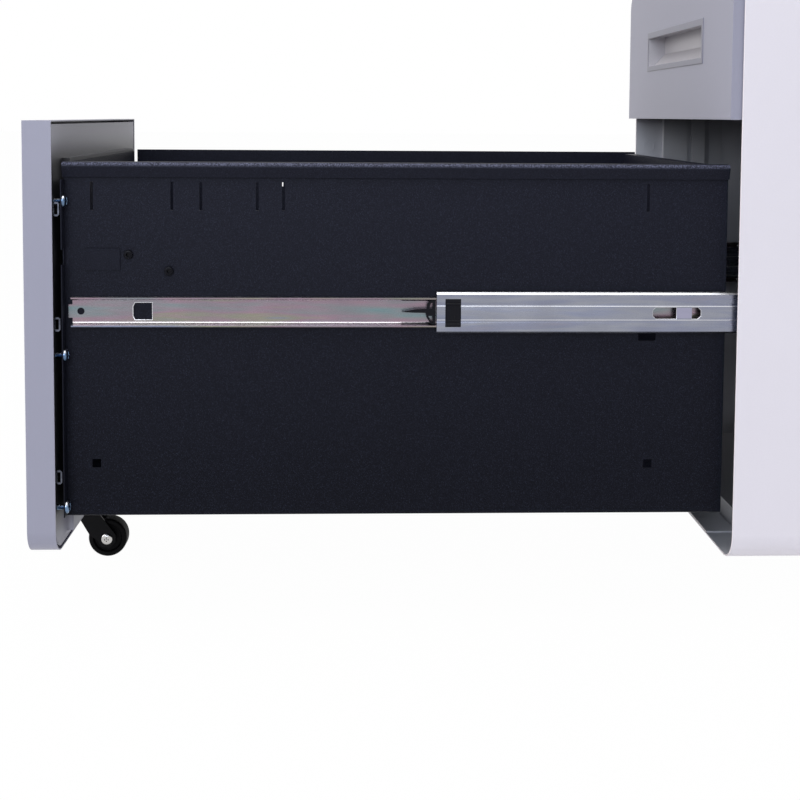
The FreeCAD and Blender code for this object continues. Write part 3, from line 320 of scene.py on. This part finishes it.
# Turned pieces: screw heads, studs, axle heads and wheels are all made round an axis. One
# tree of nodes turns a section round every point that it is given, facing the way it says.
def turned_tree(name, section):
    """A tree that turns a section, given as shares of the radius and of the height."""
    tree = bpy.data.node_groups.new(name, "GeometryNodeTree")
    tree.interface.new_socket("Points", in_out="INPUT", socket_type="NodeSocketGeometry")
    for label in ("Radius", "Height", "Recess Reach", "Recess Depth", "Cross"):
        tree.interface.new_socket(label, in_out="INPUT", socket_type="NodeSocketFloat")
    tree.interface.new_socket("Sides", in_out="INPUT", socket_type="NodeSocketInt")
    tree.interface.new_socket("Finish", in_out="INPUT", socket_type="NodeSocketMaterial")
    tree.interface.new_socket("Pieces", in_out="OUTPUT", socket_type="NodeSocketGeometry")
    given = wire(tree, "NodeGroupInput").outputs

    def sums(operation, first, second=0.0):
        return reckon(tree, operation, first, second)

    grid = wire(tree, "GeometryNodeMeshGrid", {
        "Size X": 1.0, "Size Y": 1.0, "Vertices X": sums("ADD", given["Sides"], 1.0),
        "Vertices Y": len(section),
    })
    place = wire(tree, "ShaderNodeSeparateXYZ", {
        0: wire(tree, "GeometryNodeInputPosition").outputs[0],
    })
    angle = sums("MULTIPLY", sums("ADD", place.outputs["X"], 0.5), 2 * math.pi)
    along = sums("ADD", place.outputs["Y"], 0.5)
    reach = []
    for column in (0, 1):
        shares = wire(tree, "ShaderNodeFloatCurve", {"Value": along})
        points = shares.mapping.curves[0].points
        points[0].location = (0, section[0][column])
        points[1].location = (1, section[-1][column])
        for number in range(1, len(section) - 1):
            points.new(number / (len(section) - 1), section[number][column])
        for point in points:
            point.handle_type = "VECTOR"
        shares.mapping.update()
        reach.append(shares.outputs[0])
    out = sums("MULTIPLY", reach[0], given["Radius"])
    up = sums("MULTIPLY", reach[1], given["Height"])
    cosine, sine = sums("COSINE", angle), sums("SINE", angle)
    steepest = sums("MAXIMUM", sums("ABSOLUTE", cosine), sums("ABSOLUTE", sine))
    arm = sums("GREATER_THAN", steepest, given["Cross"])
    near = sums("LESS_THAN", out, given["Recess Reach"])
    top = sums("GREATER_THAN", reach[1], 0.6)
    in_recess = sums("MULTIPLY", sums("MULTIPLY", arm, near), top)
    sunk = sums("MULTIPLY", in_recess, given["Recess Depth"])
    moved = wire(tree, "ShaderNodeCombineXYZ", {
        "X": sums("MULTIPLY", out, cosine), "Y": sums("MULTIPLY", out, sine),
        "Z": sums("SUBTRACT", up, sunk),
    })
    turned_form = wire(tree, "GeometryNodeSetPosition", {
        "Geometry": grid.outputs["Mesh"], "Position": moved.outputs[0],
    })
    closed = wire(tree, "GeometryNodeMergeByDistance", {
        "Geometry": turned_form.outputs[0], "Distance": touching,
    })
    facing = wire(
        tree, "GeometryNodeInputNamedAttribute", {"Name": "facing"}, data_type="FLOAT_VECTOR",
    )
    aimed = wire(
        tree, "FunctionNodeAlignRotationToVector", {"Vector": facing.outputs[0]}, axis="Z",
    )
    copies = wire(tree, "GeometryNodeInstanceOnPoints", {
        "Points": given["Points"], "Instance": closed.outputs[0], "Rotation": aimed.outputs[0],
    })
    real = wire(tree, "GeometryNodeRealizeInstances", {"Geometry": copies.outputs[0]})
    dressed = wire(tree, "GeometryNodeSetMaterial", {
        "Geometry": real.outputs[0], "Material": given["Finish"],
    })
    wire(tree, "NodeGroupOutput", {"Pieces": dressed.outputs[0]})
    return tree


def made_by(tree, name, places, **values):
    """Run a tree on points, each with the way that it faces, and return the plain mesh."""
    mesh = bpy.data.meshes.new(name)
    mesh.from_pydata([at for at, way in places], [], [])
    facing = mesh.attributes.new("facing", "FLOAT_VECTOR", "POINT")
    for number, (at, way) in enumerate(places):
        facing.data[number].vector = way
    holder = bpy.data.objects.new(name + "_points", mesh)
    scene.collection.objects.link(holder)
    modifier = holder.modifiers.new("made", "NODES")
    modifier.node_group = tree
    for item in tree.interface.items_tree:
        label = item.name.replace(" ", "_").lower()
        if item.in_out == "INPUT" and label in values:
            modifier[item.identifier] = values[label]
    evaluated = holder.evaluated_get(bpy.context.evaluated_depsgraph_get())
    result = bpy.data.meshes.new_from_object(evaluated)
    bpy.data.objects.remove(holder)
    result.name = name
    form = bmesh.new()
    form.from_mesh(result)
    bmesh.ops.recalc_face_normals(form, faces=form.faces)
    form.to_mesh(result)
    form.free()
    return result


def turned(
    name, tree, places, body, finish, radius, height, *replaced,
    sides=24, recess=(0.0, 0.0, 0.0), smooth=40,
):
    """Turned pieces of one body, as one mesh."""
    reach, depth, cross = recess
    mesh = made_by(
        tree, name, places, radius=radius, height=height, sides=sides, finish=finish,
        recess_reach=reach, recess_depth=depth, cross=cross,
    )
    return finished(name, mesh, body, (finish,), smooth, *replaced)


both_sides = (1, -1)


# Shell details: the knock-out left by a tool on each side wall, in front of the posts. It
# is a low six-sided ring in the sheet itself, in the same darker grey of painted shade.
knock_out = turned_tree("knock_out_ring", [
    (0.80, 0), (1, 0), (1, 0.7), (0.97, 1), (0.86, 1), (0.80, 0.7), (0.80, 0),
])
shell_inner = shell_high.x - shell_sheet
knock_out_y, knock_out_z = 0.0155, 0.4068
knock_out_radius, knock_out_height = 0.0071, 0.0003
turned(
    "shell_knock_outs", knock_out,
    [((side * shell_inner, knock_out_y, knock_out_z), (-side, 0, 0)) for side in both_sides],
    "cabinet", inside_coat, knock_out_radius, knock_out_height, sides=6, smooth=20,
)


# Posts and base channels: folded from thinner sheet, spot welded inside the shell, and
# coated with it before the drawers go in. Their darker grey is painted shade.
# A darker grey: painted shade inside the cabinet.
post_coat = powder_coat("post_coat", (0.50, 0.50, 0.53), 0.48, 800, 0.3, 0.08)
coated(post_coat, "right_front_post", "left_front_post", "rear_posts")
coated(post_coat, "front_base_channel", "rear_base_channel")


# Slides: three rolled steel members on each side, zinc plated and passivated, which leaves
# bluish, yellow and pink streaks along the way that they were rolled. The middle members
# are bluer. The eased rims of the punched slots and windows get a pale painted highlight.
def height_of(tree, vector):
    """The upward part of a place or of a facing."""
    return wire(tree, "ShaderNodeSeparateXYZ", {0: vector}).outputs["Z"]


def zinc_plate(name, dark, tints, roughness, streak=60.0, shine=0.8, shade=0.5):
    """Passivated zinc: a grey metal whose tint drifts in long streaks. Faces that lie upwards
    get a painted highlight, and faces that lie downwards get a painted shade."""
    metal, tree, shader, where = new_finish(name)
    shader.inputs["Metallic"].default_value = 1.0
    drawn = wire(tree, "ShaderNodeMapping", {"Vector": where, "Scale": (1.0, 0.09, 1.0)})
    drift = noise(tree, drawn.outputs[0], streak, 3.0, 0.6)
    ramp = wire(tree, "ShaderNodeValToRGB", {"Fac": drift})
    stops = ramp.color_ramp.elements
    first_stop, last_stop = 0.30, 0.70
    stops[0].position, stops[0].color = first_stop, (*tints[0], 1)
    stops[1].position, stops[1].color = last_stop, (*tints[-1], 1)
    for number, tint in enumerate(tints[1:-1], 1):
        way_along = (last_stop - first_stop) * number / (len(tints) - 1)
        stops.new(first_stop + way_along).color = (*tint, 1)
    stain = span(tree, noise(tree, where, 35.0, 4.0), 0.35, 0.75, 0.0, 0.45)
    worn = blend(tree, stain, ramp.outputs["Color"], dark)
    lying = height_of(tree, wire(tree, "ShaderNodeNewGeometry").outputs["Normal"])
    # Painted highlight on faces that lie upwards, painted shade on faces that lie downwards.
    facing_up = span(tree, lying, 0.25, 0.75, 0.0, shine)
    facing_down = span(tree, lying, -0.25, -0.75, 0.0, shade)
    with_painted_highlight = blend(tree, facing_up, worn, (0.92, 0.92, 0.95))
    with_painted_shade = blend(tree, facing_down, with_painted_highlight, (0.02, 0.02, 0.025))
    lines = noise(tree, drawn.outputs[0], 900.0, 2.0)
    gloss = span(tree, lines, 0.0, 1.0, roughness - 0.08, roughness + 0.10)
    surface(tree, shader, with_painted_shade, gloss, lines, 0.15, 0.0001)
    return metal


slide_zinc = zinc_plate("slide_zinc", (0.17, 0.175, 0.20), [
    (0.17, 0.25, 0.27), (0.23, 0.23, 0.25), (0.29, 0.20, 0.25), (0.26, 0.25, 0.20),
    (0.21, 0.23, 0.33),
], 0.26)
# A pale zinc that paints a highlight on the eased rims of the openings.
cut_zinc = zinc_plate(
    "cut_zinc", (0.5, 0.5, 0.53), [(0.70, 0.70, 0.74), (0.86, 0.86, 0.90)],
    0.30, streak=40.0, shine=0.6, shade=0.1,
)
blue_zinc = zinc_plate("blue_zinc", (0.20, 0.21, 0.26), [
    (0.22, 0.235, 0.29), (0.26, 0.28, 0.37), (0.30, 0.31, 0.36), (0.24, 0.255, 0.34),
    (0.28, 0.27, 0.33),
], 0.26)
slide_level = {"file": 0.274, "upper": 0.500}
middle_web_out, drawer_web_out = 0.1916, 0.1820
slots_front, slots_back, slots_half, slot_ease = 0.17, 0.24, 0.0055, 0.00034
window_front, window_back, window_half, window_ease = 0.045, 0.075, 0.0075, 0.0006
rim_half = 0.0078
hair = 2e-5


def punched(front, back, half, web):
    """Tells whether a point lies on the outer face of a web, in the stretch with openings."""
    def on_opening(at):
        in_stretch = front < at.y < back and abs(at.z - level) < half
        return in_stretch and abs(abs(at.x) - web) < hair
    return on_opening


def highlighted_rim(centre, facing):
    """The eased rim of an opening gets a pale painted highlight."""
    return 1 if 0.15 < abs(facing.x) < 0.97 and abs(centre.z - level) < rim_half else 0


for kind, level in slide_level.items():
    for side in ("right", "left"):
        coated(slide_zinc, f"{kind}_cabinet_member_{side}")
        node = f"{kind}_middle_member_{side}"
        low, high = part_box(node)
        pressed(
            f"{node}_sheet", node, f"{kind}_middle", (blue_zinc, cut_zinc),
            rolled=punched(low.y + slots_front, low.y + slots_back, slots_half, middle_web_out),
            turn=slot_ease, pick=highlighted_rim, held=False,
        )
        node = f"{kind}_drawer_member_{side}"
        low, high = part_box(node)
        pressed(
            f"{node}_sheet", node, f"{kind}_drawer", (slide_zinc, cut_zinc),
            rolled=punched(
                low.y + window_front, low.y + window_back, window_half, drawer_web_out,
            ),
            turn=window_ease, pick=highlighted_rim,
        )


# Bridge plates: between its two slots each middle member's own sheet is pressed out a
# little, as a stop for the latch. The zinc on it has a lilac tint.
def flat_plate(low, high, ease):
    """A small plate between two corners, with its edges eased."""
    form = bmesh.new()
    corners = [
        form.verts.new((x, y, z))
        for x in (low[0], high[0]) for y in (low[1], high[1]) for z in (low[2], high[2])
    ]
    for ring_of_four in (
        (0, 1, 3, 2), (4, 6, 7, 5), (0, 4, 5, 1), (2, 3, 7, 6), (0, 2, 6, 4), (1, 5, 7, 3),
    ):
        form.faces.new([corners[number] for number in ring_of_four])
    bmesh.ops.bevel(
        form, geom=form.edges[:], offset=ease, segments=2, profile=0.5, affect="EDGES",
    )
    bmesh.ops.recalc_face_normals(form, faces=form.faces)
    return form


def plates_mesh(name, forms):
    """Several small forms as one mesh."""
    whole = bmesh.new()
    for form in forms:
        part = bpy.data.meshes.new("part")
        form.to_mesh(part)
        form.free()
        whole.from_mesh(part)
        bpy.data.meshes.remove(part)
    mesh = bpy.data.meshes.new(name)
    whole.to_mesh(mesh)
    whole.free()
    return mesh


lilac_zinc = zinc_plate(
    "lilac_zinc", (0.25, 0.25, 0.33), [(0.28, 0.28, 0.38), (0.36, 0.35, 0.47)], 0.30, 50.0,
)
bridge_front, bridge_back, bridge_half = 0.2046, 0.2176, 0.0045
bridge_root, bridge_rise, bridge_ease = 0.0004, 0.0003, 0.0002
for kind, level in slide_level.items():
    low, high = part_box(f"{kind}_middle_member_right")
    forms = []
    for side in both_sides:
        across = sorted((
            side * (middle_web_out - bridge_root), side * (middle_web_out + bridge_rise),
        ))
        forms.append(flat_plate(
            (across[0], low.y + bridge_front, level - bridge_half),
            (across[1], low.y + bridge_back, level + bridge_half), bridge_ease,
        ))
    finished(
        f"{kind}_latch_bridges", plates_mesh("bridges", forms), f"{kind}_middle",
        (lilac_zinc,), soft_bend,
    )


# Ball cages: pressed steel strips between the members, which keep ten steel balls in each
# race. The strips are CAD nodes, and the round balls are set over their flat-sided ones.
ball_tree = bpy.data.node_groups.new("steel_balls", "GeometryNodeTree")
for label, kind_of_socket in (("Points", "Geometry"), ("Radius", "Float"), ("Finish", "Material")):
    ball_tree.interface.new_socket(
        label, in_out="INPUT", socket_type="NodeSocket" + kind_of_socket,
    )
ball_tree.interface.new_socket("Balls", in_out="OUTPUT", socket_type="NodeSocketGeometry")
ball_given = wire(ball_tree, "NodeGroupInput").outputs
one_ball = wire(ball_tree, "GeometryNodeMeshIcoSphere", {
    "Radius": ball_given["Radius"], "Subdivisions": 2,
})
row_of_balls = wire(ball_tree, "GeometryNodeInstanceOnPoints", {
    "Points": ball_given["Points"], "Instance": one_ball.outputs["Mesh"],
})
real_balls = wire(ball_tree, "GeometryNodeRealizeInstances", {
    "Geometry": row_of_balls.outputs[0],
})
dressed_balls = wire(ball_tree, "GeometryNodeSetMaterial", {
    "Geometry": real_balls.outputs[0], "Material": ball_given["Finish"],
})
wire(ball_tree, "NodeGroupOutput", {"Balls": dressed_balls.outputs[0]})

ball_steel = zinc_plate(
    "ball_steel", (0.4, 0.4, 0.42), [(0.5, 0.5, 0.52), (0.6, 0.6, 0.62)], 0.16, 20.0,
)
race_places = {"outer": (0.1875, 0.01945, 0.00254), "inner": (0.1861, 0.014225, 0.001765)}
balls_in_a_race = 10
race_start, race_run = 0.1, 0.8
for kind, level in slide_level.items():
    for stage, (across, rows, ball_radius) in race_places.items():
        cage = f"{kind}_{stage}_ball_cages"
        coated(slide_zinc, cage)
        cage_low, cage_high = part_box(cage)
        length = cage_high.y - cage_low.y
        race = [
            cage_low.y + length * (race_start + race_run * number / (balls_in_a_race - 1))
            for number in range(balls_in_a_race)
        ]
        places = [
            ((side * across, y, level + up * rows), (0, 0, 1))
            for side in both_sides for up in both_sides for y in race
        ]
        name = f"{kind}_{stage}_balls"
        mesh = made_by(ball_tree, name, places, radius=ball_radius, finish=ball_steel)
        finished(name, mesh, f"{kind}_{stage}_cages", (ball_steel,), smooth=60)


# Slide plastics: black bumpers in the middle members, and the release levers that are
# pressed to lift a drawer off its slides. Both are moulded, with a fine spark-eroded grain.
def moulded(name, colour, roughness, grain=500.0, relief=0.15, shine=0.4):
    """Moulded plastic: an even colour with a fine grain and slightly uneven gloss."""
    return powder_coat(name, colour, roughness, grain, relief, mottle=0.08, shine=shine)


black_plastic = moulded("black_plastic", (0.004, 0.004, 0.007), 0.30, shine=0.12)
bumper_relief = [
    (-12, 0.0), (-11.6, 0.35), (-9.4, 0.4), (-9.0, 0.05), (-8.6, 0.0), (-8.2, 0.3),
    (-6.6, 0.3), (-6.2, -0.2), (6.2, -0.2), (6.6, 0.3), (8.0, 0.3), (8.4, 0.0),
    (8.8, 0.05), (9.2, 0.4), (11.4, 0.4), (12, 0.1),
]
bumper_half, bumper_back, bumper_fit = 12, 0.002, 0.996
end_ease, end_fall = 0.0006, 0.5
line_front, line_top, line_back, line_rise, line_reach = 0.0072, 0.0076, 0.0082, 0.35, 6.3
for kind, level in slide_level.items():
    coated(black_plastic, f"{kind}_release_levers")
    low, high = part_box(f"{kind}_slide_bumpers")
    stations = (
        (low.y, end_fall, 0.0), (low.y + end_ease, 0.0, 0.0), (low.y + line_front, 0.0, 0.0),
        (low.y + line_top, 0.0, line_rise), (low.y + line_back, 0.0, 0.0),
        (high.y - end_ease, 0.0, 0.0), (high.y, end_fall, 0.0),
    )
    form = bmesh.new()
    for side in both_sides:
        rows = []
        for y, fall, rise in stations:
            row = []
            for up, proud in bumper_relief:
                out = proud - fall + (rise if abs(up) < line_reach else 0)
                row.append(form.verts.new((
                    side * (middle_web_out + out / 1000), y, level + up / 1000 * bumper_fit,
                )))
            for up in (bumper_half, -bumper_half):
                row.append(form.verts.new((
                    side * (middle_web_out - bumper_back), y, level + up * bumper_fit / 1000,
                )))
            rows.append(row)
        count = len(rows[0])
        for first, second in zip(rows, rows[1:]):
            for number in range(count):
                after = (number + 1) % count
                form.faces.new((first[number], first[after], second[after], second[number]))
        form.faces.new(rows[0])
        form.faces.new(rows[-1][::-1])
    bmesh.ops.recalc_face_normals(form, faces=form.faces)
    mesh = bpy.data.meshes.new(f"{kind}_bumper_blocks")
    form.to_mesh(mesh)
    form.free()
    finished(mesh.name, mesh, f"{kind}_middle", (black_plastic,), 25, f"{kind}_slide_bumpers")


# Drawer boxes: folded sheet with rims rolled outwards, and a back wall spot welded in.
# They have a textured near-black coat with a light speck. The upper part of the walls is
# lighter, as painted light, and the rolled rims get a speckled painted highlight.
box_coat = powder_coat(
    "box_coat", (0.0036, 0.0040, 0.0078), 0.40, 1500, 1.0, mottle=0.2,
    speck=((0.05, 0.056, 0.09), 0.42), shine=0.07,
)
box_tree = box_coat.node_tree
box_shader = box_tree.nodes["Principled BSDF"]
plain_coat = box_shader.inputs["Base Color"].links[0].from_socket
box_place = wire(box_tree, "ShaderNodeTexCoord").outputs["Object"]
box_facing = height_of(box_tree, wire(box_tree, "ShaderNodeNewGeometry").outputs["Normal"])
# Painted highlight: speckles of light on the upper round of the rolled rims.
on_the_roll = span(box_tree, box_facing, 0.10, 0.55)
off_the_flat = span(box_tree, box_facing, 0.80, 0.93, 1.0, 0.0)
roll_only = reckon(box_tree, "MULTIPLY", on_the_roll, off_the_flat)
beads = span(box_tree, noise(box_tree, box_place, 900.0, 2.0), 0.42, 0.62, 0.12, 1.0)
rim_highlight_share = reckon(box_tree, "MULTIPLY", roll_only, beads)
# Painted light: the upper part of the walls is made lighter.
upper_light_share = span(box_tree, height_of(box_tree, box_place), 0.12, 0.36)
painted_upper_light = blend(box_tree, upper_light_share, plain_coat, (0.0060, 0.0062, 0.0095), blend_type="ADD")
painted_rim_highlight = blend(box_tree, rim_highlight_share, painted_upper_light, (0.13, 0.135, 0.20))
box_tree.links.new(painted_rim_highlight, box_shader.inputs["Base Color"])
drawers = ("file", "upper")
rim_reach, rim_fall, rim_tuck, rim_sheet = 0.1868, 0.013, 0.003, 0.0012
for kind in drawers:
    low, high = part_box(f"{kind}_box")

    def rolled_under(at, drop=high.z - rim_fall):
        """The rim's lower edge is tucked in towards the wall."""
        on_the_rim = rim_reach - rim_sheet < abs(at.x) < rim_reach + hair
        if on_the_rim and abs(at.z - drop) < hair:
            at.x -= math.copysign(rim_tuck, at.x)
        return at

    pressed(
        f"{kind}_box_sheet", f"{kind}_box", f"{kind}_drawer", (box_coat,), drawn=rolled_under,
    )
    coated(box_coat, f"{kind}_box_back")


# Studs: black plastic caps, two in each side wall of the file box near its front. They
# are clipped into punched holes, and each has a small hole in its middle.
stud_cap = turned_tree("stud_cap", [
    (0, 0), (1, 0), (1, 0.35), (0.95, 0.62), (0.86, 0.78), (0.70, 0.82), (0.62, 1), (0.46, 1),
    (0.40, 0.9), (0.34, 0.9), (0.2, 0.9), (0, 0.9),
])
box_wall, stud_radius, stud_height = 0.1808, 0.004, 0.003
stud_hole = (0.0016, 0.0022, -1.0)
stud_spots = ((-0.515, 0.322), (-0.481, 0.308))
turned(
    "file_box_stud_caps", stud_cap,
    [((side * box_wall, y, z), (side, 0, 0)) for side in both_sides for y, z in stud_spots],
    "file_drawer", black_plastic, stud_radius, stud_height, "file_box_studs",
    recess=stud_hole,
)


# Drawer fronts: an outer steel pan with a small roll round its face and an inner pan set
# into it with a gap all round, both powder coated in a lilac grey. On the back of the
# inner pan the middle is darkened with painted shade, where the drawer box shadows it.
front_coat = powder_coat("front_coat", (0.325, 0.32, 0.40), 0.40, 800, 0.2)
pan_gap, face_roll, pull_margin = 0.0018, 0.0003, 0.001
unshaded_until, shaded_from = 0.008, 0.036


def coat_with_painted_shade(name, low, high):
    """The coat on the back of a front: its own colour at the upper and lower edge, and painted
    shade between them.
    """
    paint = powder_coat(name, (0.36, 0.355, 0.42), 0.45, 800, 0.2)
    tree = paint.node_tree
    shader = tree.nodes["Principled BSDF"]
    own_coat_colour = shader.inputs["Base Color"].links[0].from_socket
    place = height_of(tree, wire(tree, "ShaderNodeTexCoord").outputs["Object"])
    above = span(
        tree, place, high - shaded_from, high - unshaded_until, 1.0, 0.0,
        interpolation_type="SMOOTHSTEP",
    )
    below = span(
        tree, place, low + unshaded_until, low + shaded_from, interpolation_type="SMOOTHSTEP",
    )
    # Painted shade: the middle is darkened where the drawer box shadows it.
    painted_shade_share = reckon(tree, "MULTIPLY", above, below)
    shown = blend(tree, painted_shade_share, own_coat_colour, (0.022, 0.022, 0.026))
    tree.links.new(shown, shader.inputs["Base Color"])
    return paint


for kind in drawers:
    low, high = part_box(f"{kind}_front")
    pull_low, pull_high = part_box(f"{kind}_handle")

    def round_the_face(at, low=low, pull_low=pull_low, pull_high=pull_high):
        """The outer edge of the face, without the opening for the handle."""
        beside_pull = abs(at.x) < pull_high.x + pull_margin
        in_pull = beside_pull and pull_low.z - pull_margin < at.z < pull_high.z + pull_margin
        return at.y < low.y + on_the_end and not in_pull

    pressed(
        f"{kind}_front_pan", f"{kind}_front", f"{kind}_drawer", (front_coat,),
        rolled=round_the_face, turn=face_roll,
    )
    inner_low, inner_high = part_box(f"{kind}_front_inner")
    inner_middle = (inner_low + inner_high) / 2
    share = Vector((
        1 - pan_gap / inner_high.x, 1, 1 - 2 * pan_gap / (inner_high.z - inner_low.z),
    ))

    def set_in(at, middle=inner_middle, share=share):
        """The inner pan stands a little away from the outer one all round."""
        return Vector((at.x * share.x, at.y, middle.z + (at.z - middle.z) * share.z))

    shaded_back_coat = coat_with_painted_shade(f"{kind}_back_coat", inner_low.z, inner_high.z)
    pressed(
        f"{kind}_back_pan", f"{kind}_front_inner", f"{kind}_drawer", (shaded_back_coat,), drawn=set_in,
    )


# Front screws: zinc-plated steel pan heads with a cross recess, driven from inside through
# the box's flanges into the inner pan. Their shanks show in the gap.
pan_head = turned_tree("pan_head", [
    (0, 0), (0.98, 0), (1, 0.05), (1, 0.26), (0.97, 0.44), (0.90, 0.62), (0.80, 0.76),
    (0.68, 0.87), (0.55, 0.94), (0.42, 0.98), (0.28, 1), (0.14, 1), (0, 1),
])
thread_turns, thread_root = 9, 0.86
shank_section = [(0, 0)]
for number in range(thread_turns):
    shank_section += [(1, number / thread_turns), (thread_root, (number + 0.5) / thread_turns)]
threaded_shank = turned_tree("threaded_shank", shank_section + [(1, 1), (0, 1)])
screw_zinc = zinc_plate(
    "screw_zinc", (0.05, 0.09, 0.16), [(0.10, 0.17, 0.30), (0.22, 0.32, 0.46)], 0.20, 90.0,
)
head_radius, screw_head_height = 0.0055, 0.0032
shank_radius, shank_length = 0.0025, 0.0075
screw_recess = (0.0026, 0.0013, 0.93)
flange_middle = 0.18655
screw_seats = {"file": (-0.568, (0.3675, 0.23725, 0.107)), "upper": (0.022, (0.5115,))}
for kind, (seat, heights) in screw_seats.items():
    spots = [(side * flange_middle, seat, z) for z in heights for side in both_sides]
    turned(
        f"{kind}_screw_heads", pan_head, [(spot, (0, 1, 0)) for spot in spots],
        f"{kind}_drawer", screw_zinc, head_radius, screw_head_height, f"{kind}_front_screws",
        sides=32, recess=screw_recess,
    )
    turned(
        f"{kind}_screw_shanks", threaded_shank, [(spot, (0, -1, 0)) for spot in spots],
        f"{kind}_drawer", screw_zinc, shank_radius, shank_length, sides=16,
    )


# Spring clips: small loops of bent spring steel, dark with bright streaks. They are pushed
# on behind the file drawer's front.
clip_steel = zinc_plate(
    "clip_steel", (0.03, 0.03, 0.04), [(0.04, 0.045, 0.06), (0.16, 0.17, 0.21)], 0.28,
    streak=140.0, shine=0.5,
)
coated(clip_steel, "file_front_clips")


# Handles: moulded plastic, snapped into the fronts. The frame is in the fronts' grey, and
# the scooped pocket for the fingers is paler.
handle_plastic = moulded("handle_plastic", (0.235, 0.23, 0.285), 0.36, shine=0.25)
pocket_plastic = moulded("pocket_plastic", (0.52, 0.50, 0.53), 0.40, shine=0.25)
frame_depth, frame_ease = 0.0012, 0.0006
for kind in drawers:
    low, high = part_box(f"{kind}_handle")
    pressed(
        f"{kind}_handle_frame", f"{kind}_handle", f"{kind}_drawer",
        (handle_plastic, pocket_plastic), turn=frame_ease,
        rolled=lambda at, low=low: at.y < low.y + on_the_end,
        pick=lambda centre, facing, low=low: 1 if centre.y > low.y + frame_depth else 0,
    )


# Lock: a nickel-plated barrel and plug in the upper front, and behind it a zinc-plated
# bar that the plug's pin lifts, in two black guides.
nickel = zinc_plate(
    "nickel", (0.36, 0.35, 0.34), [(0.42, 0.41, 0.40), (0.62, 0.61, 0.60)], 0.16, 30.0,
)
coated(nickel, "lock_barrel", "lock_plug")
coated(slide_zinc, "lock_bar")
coated(black_plastic, "lock_bar_guides")


# Casters: stamped zinc plates under the base, black forks that turn on them, and moulded
# black wheels with a hub, a thin web and a round-shouldered tread.
caster_black = powder_coat(
    "caster_black", (0.005, 0.005, 0.006), 0.34, 600, 0.3, mottle=0.12, shine=0.08,
)
tyre_rubber = moulded("tyre_rubber", (0.003, 0.003, 0.0035), 0.5, 350.0, 0.3, 0.06)
coated(slide_zinc, "caster_plates", "tip_caster_stem")
wheel_section = turned_tree("moulded_wheel", [
    (0.155, 0), (0.32, 0), (0.34, 0.04), (0.36, 0.15), (0.70, 0.15), (0.73, 0.06),
    (0.76, 0.015), (0.90, 0.015), (0.955, 0.04), (0.985, 0.09), (1, 0.17), (1, 0.5),
    (1, 0.83), (0.985, 0.91), (0.955, 0.96), (0.90, 0.985), (0.76, 0.985), (0.73, 0.94),
    (0.70, 0.85), (0.36, 0.85), (0.34, 0.96), (0.32, 1), (0.155, 1), (0.155, 0),
])
for corner in ("front_left", "front_right", "rear_left", "rear_right", "tip_caster"):
    wheel_low, wheel_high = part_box(f"{corner}_wheel")
    hub_y, hub_z = (wheel_low.y + wheel_high.y) / 2, (wheel_low.z + wheel_high.z) / 2
    body = "tip_wheel" if corner == "tip_caster" else f"{corner}_wheel"
    turned(
        f"{corner}_tyre", wheel_section, [((wheel_low.x, hub_y, hub_z), (1, 0, 0))], body,
        tyre_rubber, (wheel_high.z - wheel_low.z) / 2, wheel_high.x - wheel_low.x,
        f"{corner}_wheel", sides=64,
    )
    coated(caster_black, f"{corner}_fork")
coated(black_plastic, "front_left_brake", "front_right_brake")


# Axle of the tipping caster: a bright shoulder bolt, fixed in the fork, with a domed head
# on each side. The wheel turns on it.
axle_low, axle_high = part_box("tip_caster_axle")
axle_y, axle_z = (axle_low.y + axle_high.y) / 2, (axle_low.z + axle_high.z) / 2
head_height, axle_radius = 0.0023, 0.003
axle_recess = (0.0022, 0.0010, 0.93)
plain_rod = turned_tree("plain_rod", [(0, 0), (1, 0), (1, 1), (0, 1)])
turned(
    "tip_axle_heads", pan_head,
    [((side * (axle_high.x - head_height), axle_y, axle_z), (side, 0, 0)) for side in both_sides],
    "tip_fork", nickel, head_radius, head_height, "tip_caster_axle",
    sides=32, recess=axle_recess,
)
turned(
    "tip_axle_shank", plain_rod, [((head_height + axle_low.x, axle_y, axle_z), (1, 0, 0))],
    "tip_fork", nickel, axle_radius, axle_high.x - axle_low.x - 2 * head_height,
)
